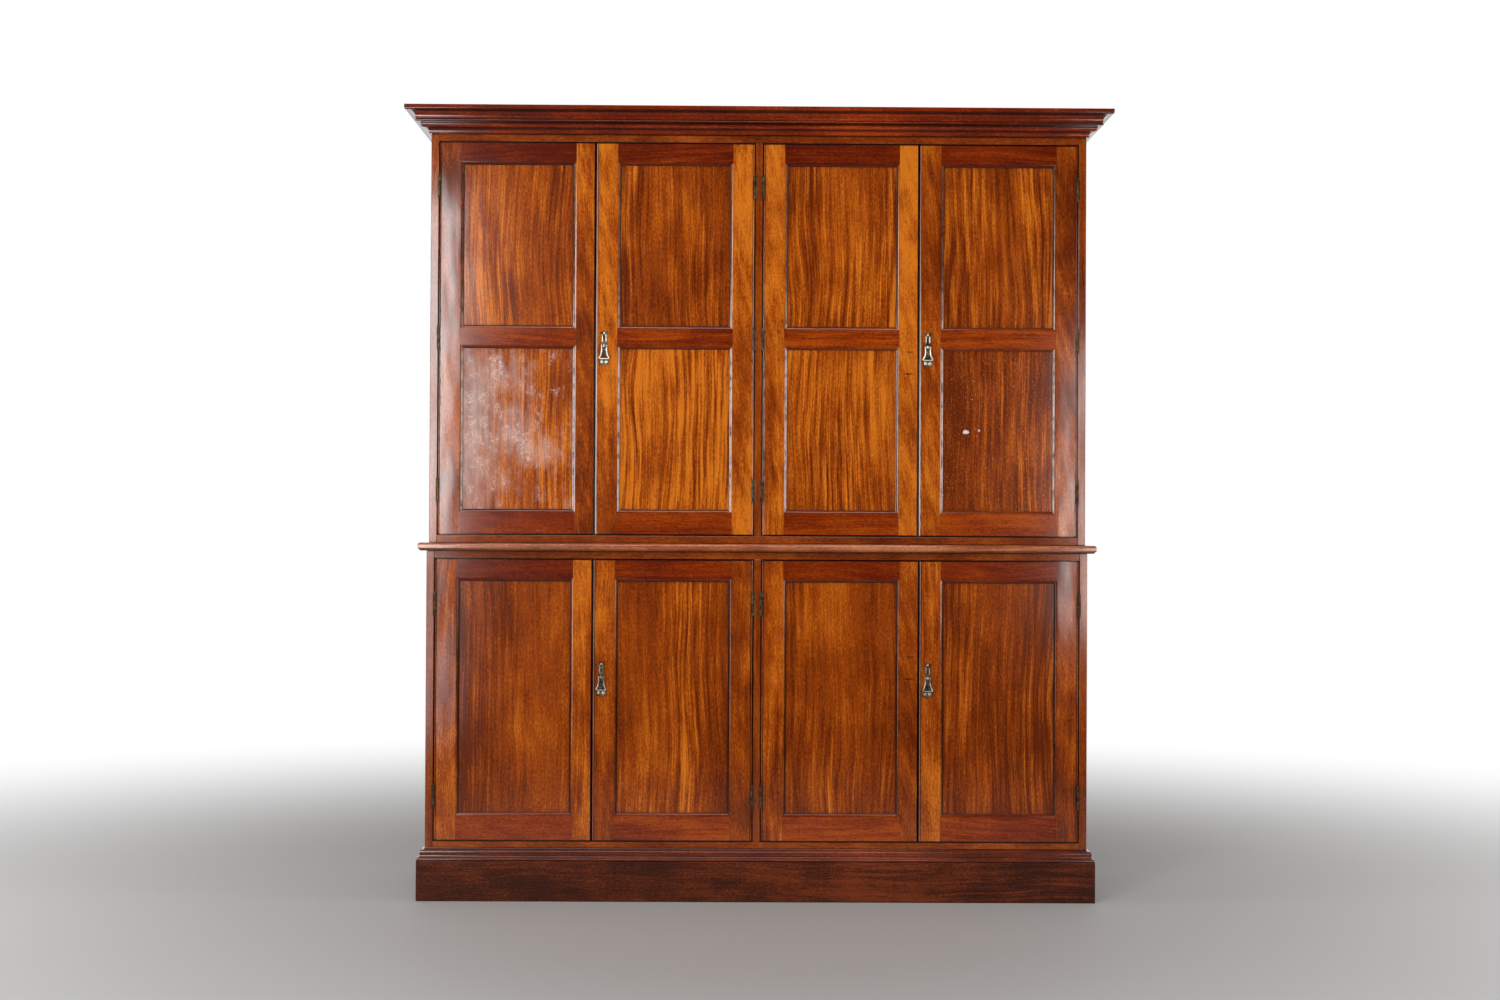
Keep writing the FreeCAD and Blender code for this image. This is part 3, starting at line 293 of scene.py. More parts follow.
def figure_of(tree, coords, ribbon, fleck, drift, figure):
    """How much lighter or darker a board is from point to point, and its flecks alone."""
    bend = weigh(tree, stretched_noise(tree, coords, BEND), BEND_REACH)
    shift = add(tree, "CombineXYZ", {1: bend}).outputs[0]
    lean = add(tree, "VectorMath", {0: coords, 1: shift}, operation="ADD").outputs[0]
    ribbons = stretched_noise(tree, lean, RIBBONS, 1.5, 0.5, 0.35)
    lines = stretched_noise(tree, lean, LINES, 2.0, 0.55)
    stripes = calc(tree, "ADD", weigh(tree, ribbons, 1.3 * ribbon), weigh(tree, lines, 1.2 * ribbon))
    strength = ranged(tree, stretched_noise(tree, coords, STRENGTH, 1.0), 0.36, 0.62, 1.25, 0.35)
    value = calc(tree, "MULTIPLY", stripes, strength)
    if figure:
        turned_grain = add(tree, "Mapping", {"Vector": coords, "Rotation": (0, 0, SLANT)}).outputs[0]
        slanting = stretched_noise(tree, turned_grain, SLANTED, 2.5)
        value = calc(tree, "ADD", value, weigh(tree, slanting, figure))
    flecks = stretched_noise(tree, coords, FLECKS, 2.0, 0.65)
    fibres = stretched_noise(tree, coords, FIBRES, 1.5)
    clouds = stretched_noise(tree, coords, CLOUDS, 2.0, 0.6)
    slow = stretched_noise(tree, coords, SLOW_DRIFT, 1.0)
    value = calc(tree, "ADD", value, weigh(tree, flecks, fleck), weigh(tree, fibres, 0.5 * fleck),
                 weigh(tree, clouds, 0.75 * drift), weigh(tree, slow, drift))
    return value, flecks


print("%d ribbons to the metre" % RIBBONS[1])

# %% [markdown]
# ## Dirt, wear and painted light
# A century leaves its marks in known places. Dirt gathers where surfaces meet, in the moulding
# worked on a frame and in the gap round a door, and the darkening there is also painted shade,
# where shadow falls in corners, hollows and gaps. The third grain coordinate is the depth below a
# piece's face, so wear can be kept to the front and to one part of a moulding.

# %% Painted shade and dirt
# The darkening colours are painted shade, with some real dirt, for corners, hollows and gaps.
SHADE_AND_DIRT, GAP_SHADE_AND_DIRT = (0.016, 0.004, 0.001), (0.006, 0.002, 0.001)
CORNER_SHADE = (0.86, 0.40)
INTO_MOULDING, OUT_OF_MOULDING = (0.0007, 0.0022), (0.0090, 0.0080)
GAP_REACH, DOOR_FACE, END_SHARE = (0.0024, 0.0014), 0.008, 0.6
LINE_CORE = 0.3


def shallow(tree, coords, deepest):
    """One on the front of a board, falling to nothing at a depth in it."""
    return ranged(tree, part_of(tree, coords, "Z"), deepest, 0.5 * deepest)


def shade_and_grime(tree, coords, corner, worked, lines):
    """Painted shade and dirt in corners, in the moulding worked on a frame and along the lines of a run
    moulding.
    """
    corners = add(tree, "AmbientOcclusion", {"Distance": corner}, samples=4).outputs["AO"]
    darkening = ranged(tree, corners, *CORNER_SHADE, 0.9)
    if worked:
        depth = part_of(tree, coords, "Z")
        into = ranged(tree, depth, *INTO_MOULDING, 0.92)
        inside = calc(tree, "MULTIPLY", into, worked, ranged(tree, depth, *OUT_OF_MOULDING))
        darkening = calc(tree, "MAXIMUM", darkening, inside)
    for height, reach, weight in lines:
        off = away_from(tree, part_of(tree, coords, "Y"), height)
        line = ranged(tree, off, reach, LINE_CORE * reach, weight, interpolation_type="SMOOTHSTEP")
        darkening = calc(tree, "MAXIMUM", darkening, line)
    return darkening


def gap_shade_and_dirt(tree, coords):
    """Painted shade and dirt round the door's outline, which is kept as the distances to its side, bottom
    and top.
    """
    sides = add(tree, "SeparateXYZ", {0: attribute(tree, "outline", "Vector")}).outputs
    ends = calc(tree, "MULTIPLY", calc(tree, "MINIMUM", sides["Y"], sides["Z"]), END_SHARE)
    gap = ranged(tree, calc(tree, "MINIMUM", sides["X"], ends), *GAP_REACH, 0.96)
    return calc(tree, "MULTIPLY", gap, shallow(tree, coords, DOOR_FACE))


print("dirt reaches %.1f mm in from the edge of a door" % (1000 * GAP_REACH[0]))

# %% [markdown]
# Painted highlights stand for light mirrored in the frame: pale lines on the mouldings, and a
# brighter line on the crest of the bead beside a handle, strongest below a set height. Both fade
# out further up.

# %% Painted highlights on mouldings and beads
MOULDING_HIGHLIGHT_COLOUR, BEAD_HIGHLIGHT_COLOUR = (0.66, 0.45, 0.34), (0.74, 0.58, 0.50)
HIGHLIGHT_PATCHES, HIGHLIGHT_STARTS, HIGHLIGHT_ENDS = (40, 9, 5), (0.0011, 0.0015), (0.0036, 0.0028)
MOULDING_HIGHLIGHT_UNTIL, BEAD_HIGHLIGHT_UNTIL, HIGHLIGHT_FULL_BELOW = 1.75, 1.80, 1.45
BEAD_CREST, CREST_HALF = 0.0035, (0.0016, 0.0008)


def above_floor(tree):
    return part_of(tree, add(tree, "TexCoord").outputs["Object"], "Z")


def highlighted(tree, coords, colour, weight):
    """A pale painted highlight between two depths of the moulding, in patches along it."""
    depth = part_of(tree, coords, "Z")
    patchy = ranged(tree, stretched_noise(tree, coords, HIGHLIGHT_PATCHES, 3.0), 0.30, 0.55)
    band = ranged(tree, above_floor(tree), MOULDING_HIGHLIGHT_UNTIL, HIGHLIGHT_FULL_BELOW, 1.0, 0.15)
    cover = calc(tree, "MULTIPLY", ranged(tree, depth, *HIGHLIGHT_STARTS), ranged(tree, depth, *HIGHLIGHT_ENDS),
                 band, patchy, weight)
    return mixed(tree, cover, colour, MOULDING_HIGHLIGHT_COLOUR)


def rubbed_and_highlighted(tree, coords, colour, crest):
    """A painted highlight on the top of the bead, where the piece is marked for it."""
    off = away_from(tree, part_of(tree, attribute(tree, "outline", "Vector"), "X"), BEAD_CREST)
    band = ranged(tree, above_floor(tree), BEAD_HIGHLIGHT_UNTIL, HIGHLIGHT_FULL_BELOW, crest, 0.35 * crest)
    cover = calc(tree, "MULTIPLY", ranged(tree, off, *CREST_HALF), band,
                 attribute(tree, "highlit_bead"), shallow(tree, coords, DOOR_FACE))
    return mixed(tree, cover, colour, BEAD_HIGHLIGHT_COLOUR)


print("beads are brightest below %.2f m" % HIGHLIGHT_FULL_BELOW)

# %% [markdown]
# Polish that has been damp turns whitish in clouds and threads, which is called bloom, and knocks
# leave scratches and chips. Both belong to single boards. Each has a place on its board, along and
# across the grain in metres, and a spread round that place.

# %% Bloom, scratches and chips
BLOOM_WHITE = (0.70, 0.52, 0.46)
SPECKS, BLOTS, RUBS, RAGGED = (62, 52, 10), (17, 26, 10), (4, 60, 20), (160, 300, 10)
FACE_ONLY = 0.005


def nearness(tree, coords, place, spread):
    """One at a place on the board, falling to nothing at the spread."""
    away = add(tree, "VectorMath", {0: coords, 1: (*place, 0.0)}, operation="SUBTRACT").outputs[0]
    away = add(tree, "VectorMath", {0: away, 1: (1 / spread[0], 1 / spread[1], 0.0)},
               operation="MULTIPLY").outputs[0]
    return ranged(tree, add(tree, "VectorMath", {0: away}, operation="LENGTH").outputs["Value"], 1.0, 0.0)


def bloomed(tree, coords, colour, rough, patches):
    """Whitish clouds and fine wandering threads in the polish, gathered in patches."""
    near = calc(tree, "MAXIMUM", 0.0, *[nearness(tree, coords, *patch) for patch in patches])
    specks = stretched_noise(tree, coords, SPECKS, 3.0, 0.6, 0.6)
    threads = ranged(tree, away_from(tree, specks, 0.5), 0.030, 0.010)
    blots = stretched_noise(tree, coords, BLOTS, 3.0, 0.65)
    spots = ranged(tree, calc(tree, "ADD", blots, calc(tree, "MULTIPLY", near, 0.20)), 0.58, 0.70, 0.9)
    rubs = stretched_noise(tree, coords, RUBS, 4.0, 0.65)
    cloud = calc(tree, "ADD", calc(tree, "MULTIPLY", blots, 0.5), calc(tree, "MULTIPLY", rubs, 0.5),
                 calc(tree, "MULTIPLY", near, 0.30))
    cover = calc(tree, "MAXIMUM", calc(tree, "MULTIPLY", spots, threads),
                 ranged(tree, cloud, 0.50, 0.86, 0.55))
    cover = calc(tree, "MULTIPLY", cover, shallow(tree, coords, FACE_ONLY))
    rough = calc(tree, "ADD", rough, calc(tree, "MULTIPLY", cover, 0.35))
    return mixed(tree, cover, colour, BLOOM_WHITE), rough


def marked_by(tree, coords, colour, marks):
    """Scratches and chips, each with its place, its spread and its colour."""
    ragged = weigh(tree, stretched_noise(tree, coords, RAGGED), 0.9)
    for place, spread, paint in marks:
        near = calc(tree, "ADD", nearness(tree, coords, place, spread), ragged)
        cover = calc(tree, "MULTIPLY", ranged(tree, near, 0.15, 0.4, 0.9),
                     shallow(tree, coords, FACE_ONLY))
        colour = mixed(tree, cover, colour, paint)
    return colour


print("marks go no deeper than %d mm" % (1000 * FACE_ONLY))

# %% [markdown]
# Last come the three colours, from the deepest to the brightest, blended by the figure, and the
# finish over them. French polish is a clear coat laid on by hand, so it has soft waves, and the
# wood's own shine under it is slight and red. The flecks stand up by a hair, which breaks up the
# mirrored light the way real pores do.

# %% The wood recipe
PORES, SMEARS, POLISH_WAVES = (110, 2200, 2200), (5, 17, 17), (3.5, 11, 9)
MIDDLE_TONE = 0.5
RELIEF = 0.0005


def wood(name, colours, ribbon=1.0, fleck=1.0, drift=1.0, figure=0.0, axis=None, roughness=0.32,
         coat=1.0, specular=0.05, waves=1.0, corner=0.009, worked=0.0, lines=(), moulding_highlight=0.0, crest=0.0,
         bloom=(), marks=()):
    """A timber finish, with weights for its figure, its polish, each kind of wear and the painted shade
    and highlights.
    """
    deep, middle, bright = colours
    made, tree = new_material(name)
    coords = grain_coordinates(tree, axis)
    value, flecks = figure_of(tree, coords, ribbon, fleck, drift, figure)
    tone = attribute(tree, "tone") if axis is None else MIDDLE_TONE
    colour = colour_ramp(tree, calc(tree, "ADD", value, tone),
                         [(0.08, deep), (0.94, bright), (0.5, middle)])
    pores = ranged(tree, stretched_noise(tree, coords, PORES, 1.0), 0.42, 0.33, 0.45)
    colour = mixed(tree, pores, colour, [0.4 * part for part in deep])
    # Painted shade, with some dirt, in corners, in the frame's moulding and along moulding lines.
    colour = mixed(tree, shade_and_grime(tree, coords, corner, worked, lines), colour, SHADE_AND_DIRT)
    # Pale painted highlights on the frame's moulding and on the crest of a bead.
    if moulding_highlight:
        colour = highlighted(tree, coords, colour, moulding_highlight)
    if crest:
        colour = rubbed_and_highlighted(tree, coords, colour, crest)
    # Painted shade, with some dirt, in the gap round a door.
    if worked:
        colour = mixed(tree, gap_shade_and_dirt(tree, coords), colour, GAP_SHADE_AND_DIRT)
    smear = stretched_noise(tree, coords, SMEARS, 3.0, 0.6)
    rough = calc(tree, "ADD", weigh(tree, smear, 0.30), roughness)
    if bloom:
        colour, rough = bloomed(tree, coords, colour, rough, bloom)
    if marks:
        colour = marked_by(tree, coords, colour, marks)
    wave = stretched_noise(tree, coords, POLISH_WAVES, 1.5)
    height = calc(tree, "ADD", calc(tree, "MULTIPLY", wave, waves), calc(tree, "MULTIPLY", flecks, 0.03))
    bump = add(tree, "Bump", {"Strength": 1.0, "Distance": RELIEF, "Height": height}).outputs[0]
    show(tree, add(tree, "BsdfPrincipled", {
        "Base Color": colour, "Roughness": rough, "Normal": bump, "Specular IOR Level": specular,
        "Specular Tint": (1.0, 0.6, 0.4, 1), "Coat Weight": coat, "Coat Roughness": 0.11,
        "Coat Normal": bump}))
    return made


print("the wood recipe is ready")

# %% [markdown]
# The joiner picked the boards with care: lively ribbons for the panels, quiet straight wood for
# the stiles and darker wood for the rails. The lower panels are darker and calmer than the upper
# ones, and three boards carry marks of their own: bloom, two chips and two scratches.

# %% Finishes for the doors
DOOR_REDS = ((0.125, 0.0165, 0.0006), (0.330, 0.056, 0.0020), (0.680, 0.180, 0.0100))
RAIL_REDS = ((0.090, 0.006, 0.0004), (0.205, 0.0215, 0.0006), (0.400, 0.066, 0.0020))
BLOOM_PATCHES = (((0.22, 0.045), (0.34, 0.10)), ((0.22, 0.14), (0.12, 0.09)),
                 ((0.172, 0.19), (0.06, 0.10)), ((0.37, 0.10), (0.10, 0.12)))
PALE_CHIP, BUFF_CHIP, DARK_SCRATCH = (0.82, 0.70, 0.58), (0.75, 0.58, 0.42), (0.02, 0.004, 0.001)
CHIPS = (((0.226, 0.071), (0.0075, 0.0120), PALE_CHIP), ((0.230, 0.107), (0.0040, 0.0045), BUFF_CHIP))
SCRATCHES = (((0.505, 0.037), (0.0022, 0.0150), DARK_SCRATCH),
             ((0.445, 0.034), (0.0024, 0.0210), DARK_SCRATCH))
UPRIGHT = {"drift": 1.5, "waves": 2.6, "worked": 1.0}

panel_wood = wood("ribbon mahogany", DOOR_REDS, ribbon=1.25)
lower_panel_wood = wood("darker ribbon mahogany", DOOR_REDS, ribbon=0.95, drift=0.85)
bloomed_wood = wood("ribbon mahogany with bloom", DOOR_REDS, bloom=BLOOM_PATCHES)
chipped_wood = wood("chipped ribbon mahogany", DOOR_REDS, marks=CHIPS)
# The beads carry a painted highlight on their crest, and the upper stiles pale painted highlights on
# their ovolos as well.
stile_wood = wood("upright mahogany", DOOR_REDS, ribbon=0.6, figure=0.35, crest=0.15, **UPRIGHT)
highlighted_stile_wood = wood("waxed upright mahogany", DOOR_REDS, ribbon=0.45, figure=0.75, moulding_highlight=0.75,
                        crest=0.9, **UPRIGHT)
scratched_wood = wood("scratched upright mahogany", DOOR_REDS, ribbon=0.45, figure=0.75,
                      marks=SCRATCHES, **UPRIGHT)
rail_wood = wood("level mahogany", RAIL_REDS, ribbon=0.55, worked=0.55, figure=0.3)
print("%d finishes so far, with the floor's" % len(finishes))

# %% [markdown]
# The mouldings are darker, and dark lines run along their hollows and steps: painted shade where
# the hollows and undersides fall in shadow, with some dust and polish built up there. Each line is
# given by its height up the moulding, its reach and its weight. The waist board's colour is painted
# pale: partly the wear and dust of being leaned on, partly a painted sheen of light on its nose.
# The plinth has met many shoes.

# %% Finishes for the mouldings and the carcase
# Lines of painted shade, with some dust, at the hollows and steps of each moulding.
CORNICE_SHADE_LINES = ((0.0560, 0.0040, 0.85), (0.0275, 0.0050, 0.85), (0.0125, 0.0038, 0.75),
                 (0.0010, 0.0030, 0.6))
BASE_SHADE_LINES = ((0.0, 0.0035, 0.8), (0.0130, 0.0025, 0.5), (0.0330, 0.0035, 0.8))
WAIST_SHADE_LINES = ((0.0, 0.0040, 0.8),)

moulding_wood = wood(
    "moulding mahogany", ((0.050, 0.005, 0.0008), (0.150, 0.016, 0.0016), (0.330, 0.046, 0.0040)),
    ribbon=0.3, corner=0.010)
cornice_wood = wood(
    "cornice mahogany", ((0.060, 0.004, 0.0004), (0.205, 0.017, 0.0008), (0.480, 0.060, 0.0030)),
    ribbon=0.3, corner=0.010, lines=CORNICE_SHADE_LINES)
base_wood = wood(
    "base mahogany", ((0.050, 0.006, 0.0012), (0.160, 0.020, 0.0030), (0.350, 0.056, 0.0080)),
    ribbon=0.3, lines=BASE_SHADE_LINES)
# The waist's paler colours are partly wear and dust and partly a painted sheen.
waist_wood = wood(
    "rubbed moulding mahogany",
    ((0.110, 0.020, 0.0060), (0.310, 0.070, 0.0220), (0.600, 0.200, 0.0800)),
    ribbon=0.7, specular=0.5, roughness=0.30, corner=0.004, lines=WAIST_SHADE_LINES)
plinth_wood = wood(
    "worn plinth mahogany", ((0.034, 0.006, 0.0016), (0.090, 0.014, 0.0030), (0.180, 0.032, 0.0060)),
    ribbon=1.1, fleck=1.8, drift=1.9, roughness=0.5, coat=0.35, specular=0.1)
end_wood = wood(
    "upright carcase mahogany",
    ((0.090, 0.012, 0.0006), (0.250, 0.040, 0.0020), (0.400, 0.090, 0.0070)), ribbon=0.6, axis="Z")
# Painted lighter to make up for the shade that the cornice and the waist cast on the boards.
board_wood = wood(
    "level carcase mahogany",
    ((0.085, 0.012, 0.0015), (0.215, 0.036, 0.0040), (0.390, 0.082, 0.0090)),
    ribbon=0.6, roughness=0.38, coat=0.5, axis="X", corner=0.004)

PINE_COLOURS = ((0.20, 0.085, 0.030), (0.40, 0.205, 0.083), (0.55, 0.33, 0.155))
PINE = {"ribbon": 0.8, "fleck": 0.5, "coat": 0.0}
pine_level = wood("aged pine shelves", PINE_COLOURS, roughness=0.6, axis="X", **PINE)
pine_run = wood("aged pine rails", PINE_COLOURS, roughness=0.62, **PINE)
pine_batten = wood("aged pine battens", PINE_COLOURS, roughness=0.6, axis="Y", **PINE)
print("%d finishes so far, with the floor's" % len(finishes))

# %% [markdown]
# ## Boards kept from the CAD
# The ends, tops, bottoms, partitions and shelves are plain boards with the right recesses already.
# They keep their CAD meshes. A bevel on top softens the arrises the way a few strokes of a plane
# and a century of dusting do.

# %% Dress the carcase boards
CARCASE_FINISHES = {
    "end_left": end_wood, "end_right": end_wood, "partition": end_wood,
    "bottom_board": board_wood, "top_board": board_wood, "shelves": pine_level}
ARRIS_ANGLE = math.radians(35)
TOUCHING = 0.00001


def dress(node, finish, arris=0.0013):
    """Gives a CAD node its finish and a small bevel, which leave its mesh as it is."""
    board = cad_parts[node]
    board.data.materials.clear()
    board.data.materials.append(finish)
    weld = board.modifiers.new("weld", "WELD")
    weld.merge_threshold = TOUCHING
    bevel = board.modifiers.new("arris", "BEVEL")
    bevel.width = arris
    bevel.segments = 2
    bevel.limit_method = "ANGLE"
    bevel.angle_limit = ARRIS_ANGLE


for level in ("lower", "upper"):
    for part, finish in CARCASE_FINISHES.items():
        dress("%s_%s" % (level, part), finish)
dress("shelf_bearers", pine_batten, 0.0010)
print("dressed %d boards' nodes" % (2 * len(CARCASE_FINISHES) + 1))

# %% [markdown]
# ## Shaping tools
# A joiner works a long piece by running one section along it. The code does the same: it skins a
# form over rings of points, and each ring may differ a little from the last, which gives mitres
# and housings. A turned form is skinned over circles. From here on, the sizes and places of forms
# are in millimetres.

# %% Skin and turn
MM = 0.001
SAME_POINT = 0.01 * MM
FULL_TURN = 2 * math.pi
TURNED_SIDES = 24


def fan(turn, runs):
    """Angles that divide a turn evenly, with both ends."""
    return [turn * step / runs for step in range(runs + 1)]


def skin(rings):
    """A closed form over rings of points that match one to one."""
    form = bmesh.new()
    loops = [[form.verts.new([MM * part for part in point]) for point in ring] for ring in rings]
    for one, other in zip(loops, loops[1:]):
        for index in range(len(one)):
            after = (index + 1) % len(one)
            form.faces.new((one[index], one[after], other[after], other[index]))
    form.faces.new(loops[0])
    form.faces.new(loops[-1])
    bmesh.ops.remove_doubles(form, verts=form.verts, dist=SAME_POINT)
    bmesh.ops.dissolve_degenerate(form, dist=SAME_POINT, edges=form.edges)
    bmesh.ops.recalc_face_normals(form, faces=form.faces)
    return form


def slab(x0, x1, y0, y1, z0, z1):
    return skin([[(x0, y0, z), (x1, y0, z), (x1, y1, z), (x0, y1, z)] for z in (z0, z1)])


def turned(radii, sides=TURNED_SIDES, axis="Z", place=(0, 0, 0)):
    """A turned form from (height, radius) pairs."""
    rings = []
    for height, radius in radii:
        ring = []
        for angle in fan(FULL_TURN, sides)[:-1]:
            u, v = radius * math.cos(angle), radius * math.sin(angle)
            point = {"X": (height, u, v), "Y": (u, height, v), "Z": (u, v, height)}[axis]
            ring.append([part + shift for part, shift in zip(point, place)])
        rings.append(ring)
    return skin(rings)


print("a turned form has %d sides unless it says otherwise" % TURNED_SIDES)

# %% [markdown]
# Recesses are cut as with a chisel: the waste is a form too, and the Boolean modifier takes it out
# of the piece. The same modifier joins two forms. The blanks and the waste are cleared away.

# %% Carve
def as_object(form, name="blank"):
    mesh = bpy.data.meshes.new(name)
    form.to_mesh(mesh)
    form.free()
    made = bpy.data.objects.new(name, mesh)
    scene.collection.objects.link(made)
    return made


def carve(form, tools, operation="DIFFERENCE"):
    """Cuts the tools out of a form, or joins them to it."""
    made = [as_object(form)] + [as_object(tool) for tool in tools]
    for tool in made[1:]:
        modifier = made[0].modifiers.new("carve", "BOOLEAN")
        modifier.operation = operation
        modifier.solver = "EXACT"
        modifier.object = tool
    result = bmesh.new()
    result.from_object(made[0], bpy.context.evaluated_depsgraph_get())
    for item in made:
        mesh = item.data
        bpy.data.objects.remove(item)
        bpy.data.meshes.remove(mesh)
    return result


def box_of(node):
    """A node's lowest and highest corner in millimetres."""
    return [[part / MM for part in corner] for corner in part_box(node)]


print("the waist board is %.0f mm thick" % (box_of("waist_board")[1][2] - box_of("waist_board")[0][2]))

# %% [markdown]
# An arris gets a small rounding, because a sharp edge on polished wood never lasts. Then the
# piece notes a few values at its points for the finishes to read: where the point lies along,
# across and through the wood, how light the board is, and for doors how far it is from the edges.
# The grain starts at a chance place, seeded by the name, unless the board carries marks.

# %% Finish a piece
GRAIN_ORDER = {"X": (0, 2, 1), "Y": (1, 2, 0), "Z": (2, 0, 1)}
SPREAD_OF_GRAIN = 90
CREASE_ANGLE = math.radians(50)


def round_arrises(form, width):
    sharp = [edge for edge in form.edges
             if len(edge.link_faces) == 2 and edge.calc_face_angle(0) > ARRIS_ANGLE]
    bmesh.ops.bevel(form, geom=sharp, offset=width * MM, offset_type="OFFSET", segments=2,
                    profile=0.6, affect="EDGES", clamp_overlap=True)


def note(mesh, name, values):
    """Keeps a number or a vector for each point of a mesh."""
    vector = isinstance(values[0], tuple)
    kept = mesh.attributes.new(name, "FLOAT_VECTOR" if vector else "FLOAT", "POINT")
    if vector:
        kept.data.foreach_set("vector", [part for value in values for part in value])
    else:
        kept.data.foreach_set("value", values)


def piece(name, form, finish, body, grain="Z", tone=MIDDLE_TONE, arris=0.5, marked=False,
          outline=None, highlit_bead=0.0):
    """Rounds the arrises, notes the grain and makes the piece ride on its body."""
    if arris:
        round_arrises(form, arris)
    made = as_object(form, name)
    mesh = made.data
    mesh.shade_smooth()
    mesh.set_sharp_from_angle(angle=CREASE_ANGLE)
    made.modifiers.new("face normals", "WEIGHTED_NORMAL").keep_sharp = True
    mesh.materials.append(finish)
    luck = random.Random(name)
    points = [vertex.co for vertex in mesh.vertices]
    corner = [min(point[axis] for point in points) for axis in range(3)]
    start = (0, 0, 0)
    if not marked:
        start = (luck.uniform(0, SPREAD_OF_GRAIN), luck.uniform(0, SPREAD_OF_GRAIN), 0)
    note(mesh, "grain", [tuple(point[axis] - corner[axis] + shift for axis, shift in zip(
        GRAIN_ORDER[grain], start)) for point in points])
    note(mesh, "tone", [tone] * len(points))
    if outline:
        side, bottom, top = [MM * part for part in outline]
        note(mesh, "outline", [
            (abs(point.x - side), point.z - bottom, top - point.z) for point in points])
        note(mesh, "highlit_bead", [highlit_bead] * len(points))
    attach(made, body)
    return made


def stand_for(node, slot, *pieces):
    """Hides the CAD node that the pieces replace. The slot is not used."""
    for item in pieces:
        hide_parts(node)


print("pieces can be finished")

# %% [markdown]
# ## Framed doors
# A door is two upright stiles, level rails tenoned between them and thin panels held in grooves,
# so that the panels may swell and shrink. The front edge by each panel has a small ovolo worked on
# the frame itself, so its corners are mitred. A bead hides the gap on the outer edges, and it is
# cut away where a hinge sits.

# %% Sizes and sections of the door frames
THICK, MOULD, OVOLO, RECESS, PANEL_BACK, GROOVE = 22, 6, 9, 7, 14, 10
BEAD, QUIRK, LEAF, LEAF_BACK, HINGE = 2.5, 6.5, 2, 18.5, 64
STILE, MEETING_STILE = 68, 60
RAILS = {"lower": [(0, 77, 0, 1), (707, 768, 1, 0)],
         "upper": [(0, 70, 0, 1), (509, 573, 1, 1), (1012, 1074, 1, 0)]}
HINGE_STARTS = {"lower": (90, 614), "upper": (90, 505, 920)}
EASED_EDGE = [(0, 1.3), (0.35, 0.35), (1.3, 0)]
OVOLO_TURNS, BEAD_TURNS = fan(math.pi / 2, 8), fan(math.pi, 10)


def outer_side(beaded):
    """The outer edge of a stile as points across it and back from its face."""
    if not beaded:
        return EASED_EDGE
    bead = [(BEAD - BEAD * math.cos(turn), BEAD - BEAD * math.sin(turn)) for turn in BEAD_TURNS]
    return bead + [(QUIRK, BEAD), (QUIRK, 0)]


def panel_side(width):
    """The panel edge of a stile: its ovolo, the groove for the panel and the lip behind it."""
    shoulder = width - OVOLO
    ovolo = [(shoulder + OVOLO * math.sin(turn), RECESS - MOULD * math.cos(turn)) for turn in OVOLO_TURNS]
    groove = [(width - GROOVE, RECESS), (width - GROOVE, PANEL_BACK)]
    return [(shoulder, 0)] + ovolo + groove + [(width, PANEL_BACK), (width, THICK)]


print("stiles of %d and %d mm, %d mm thick" % (STILE, MEETING_STILE, THICK))

# %% [markdown]
# A stile is skinned from bottom to top. Where a panel's opening starts or ends, and where a hinge
# is let in, two rings lie at the same height: one with the section below and one with the section
# above. The moulding slopes at the openings, and that makes the mitres.

# %% Stiles
def stile_ring(z, outer, inner, shoulder, housed, opening):
    """The section of a stile at a height, as points across it, back from its face and up."""
    points = [(0, THICK, z), (0, LEAF_BACK, z), (LEAF if housed else 0, LEAF_BACK, z)]
    for across, depth in outer:
        if housed and across < QUIRK:
            across, depth = max(across, LEAF), BEAD
        points.append((across, depth, z))
    for across, depth in inner:
        past = max(0, across - shoulder)
        if depth >= PANEL_BACK and past == OVOLO:
            points.append((across, depth, z))
        elif opening:
            points.append((across, depth, min(max(z, opening[0] + past), opening[1] - past)))
        else:
            points.append((shoulder, depth, z))
    return points


def stile_form(place, edge, side, width, height, beaded, rails, hinges):
    """A stile whose outer edge is at edge and whose panel is on the side given."""
    outer, inner, shoulder = outer_side(beaded), panel_side(width), width - OVOLO
    openings = [(one[1] - OVOLO, other[0] + OVOLO) for one, other in zip(rails, rails[1:])]
    events = [(low, "open") for low, _ in openings] + [(high, "close") for _, high in openings]
    events += [(low, "house") for low in hinges] + [(low + HINGE, "leave") for low in hinges]
    housed, opening = False, None
    rings = [stile_ring(0, outer, inner, shoulder, housed, opening)]
    for z, event in sorted(events):
        rings.append(stile_ring(z, outer, inner, shoulder, housed, opening))
        if event == "open":
            opening = next(pair for pair in openings if pair[0] == z)
        elif event == "close":
            opening = None
        else:
            housed = event == "house"
        rings.append(stile_ring(z, outer, inner, shoulder, housed, opening))
    rings.append(stile_ring(height, outer, inner, shoulder, housed, opening))
    return skin([[(edge + side * across, place[0] + depth, place[1] + z) for across, depth, z in ring]
                 for ring in rings])


print("a stile's panel side has %d points" % len(panel_side(STILE)))

# %% [markdown]
# A rail runs between the stiles. Its front is mitred to theirs, and its back ends square at their
# shoulders, so it is built as two forms that are joined.

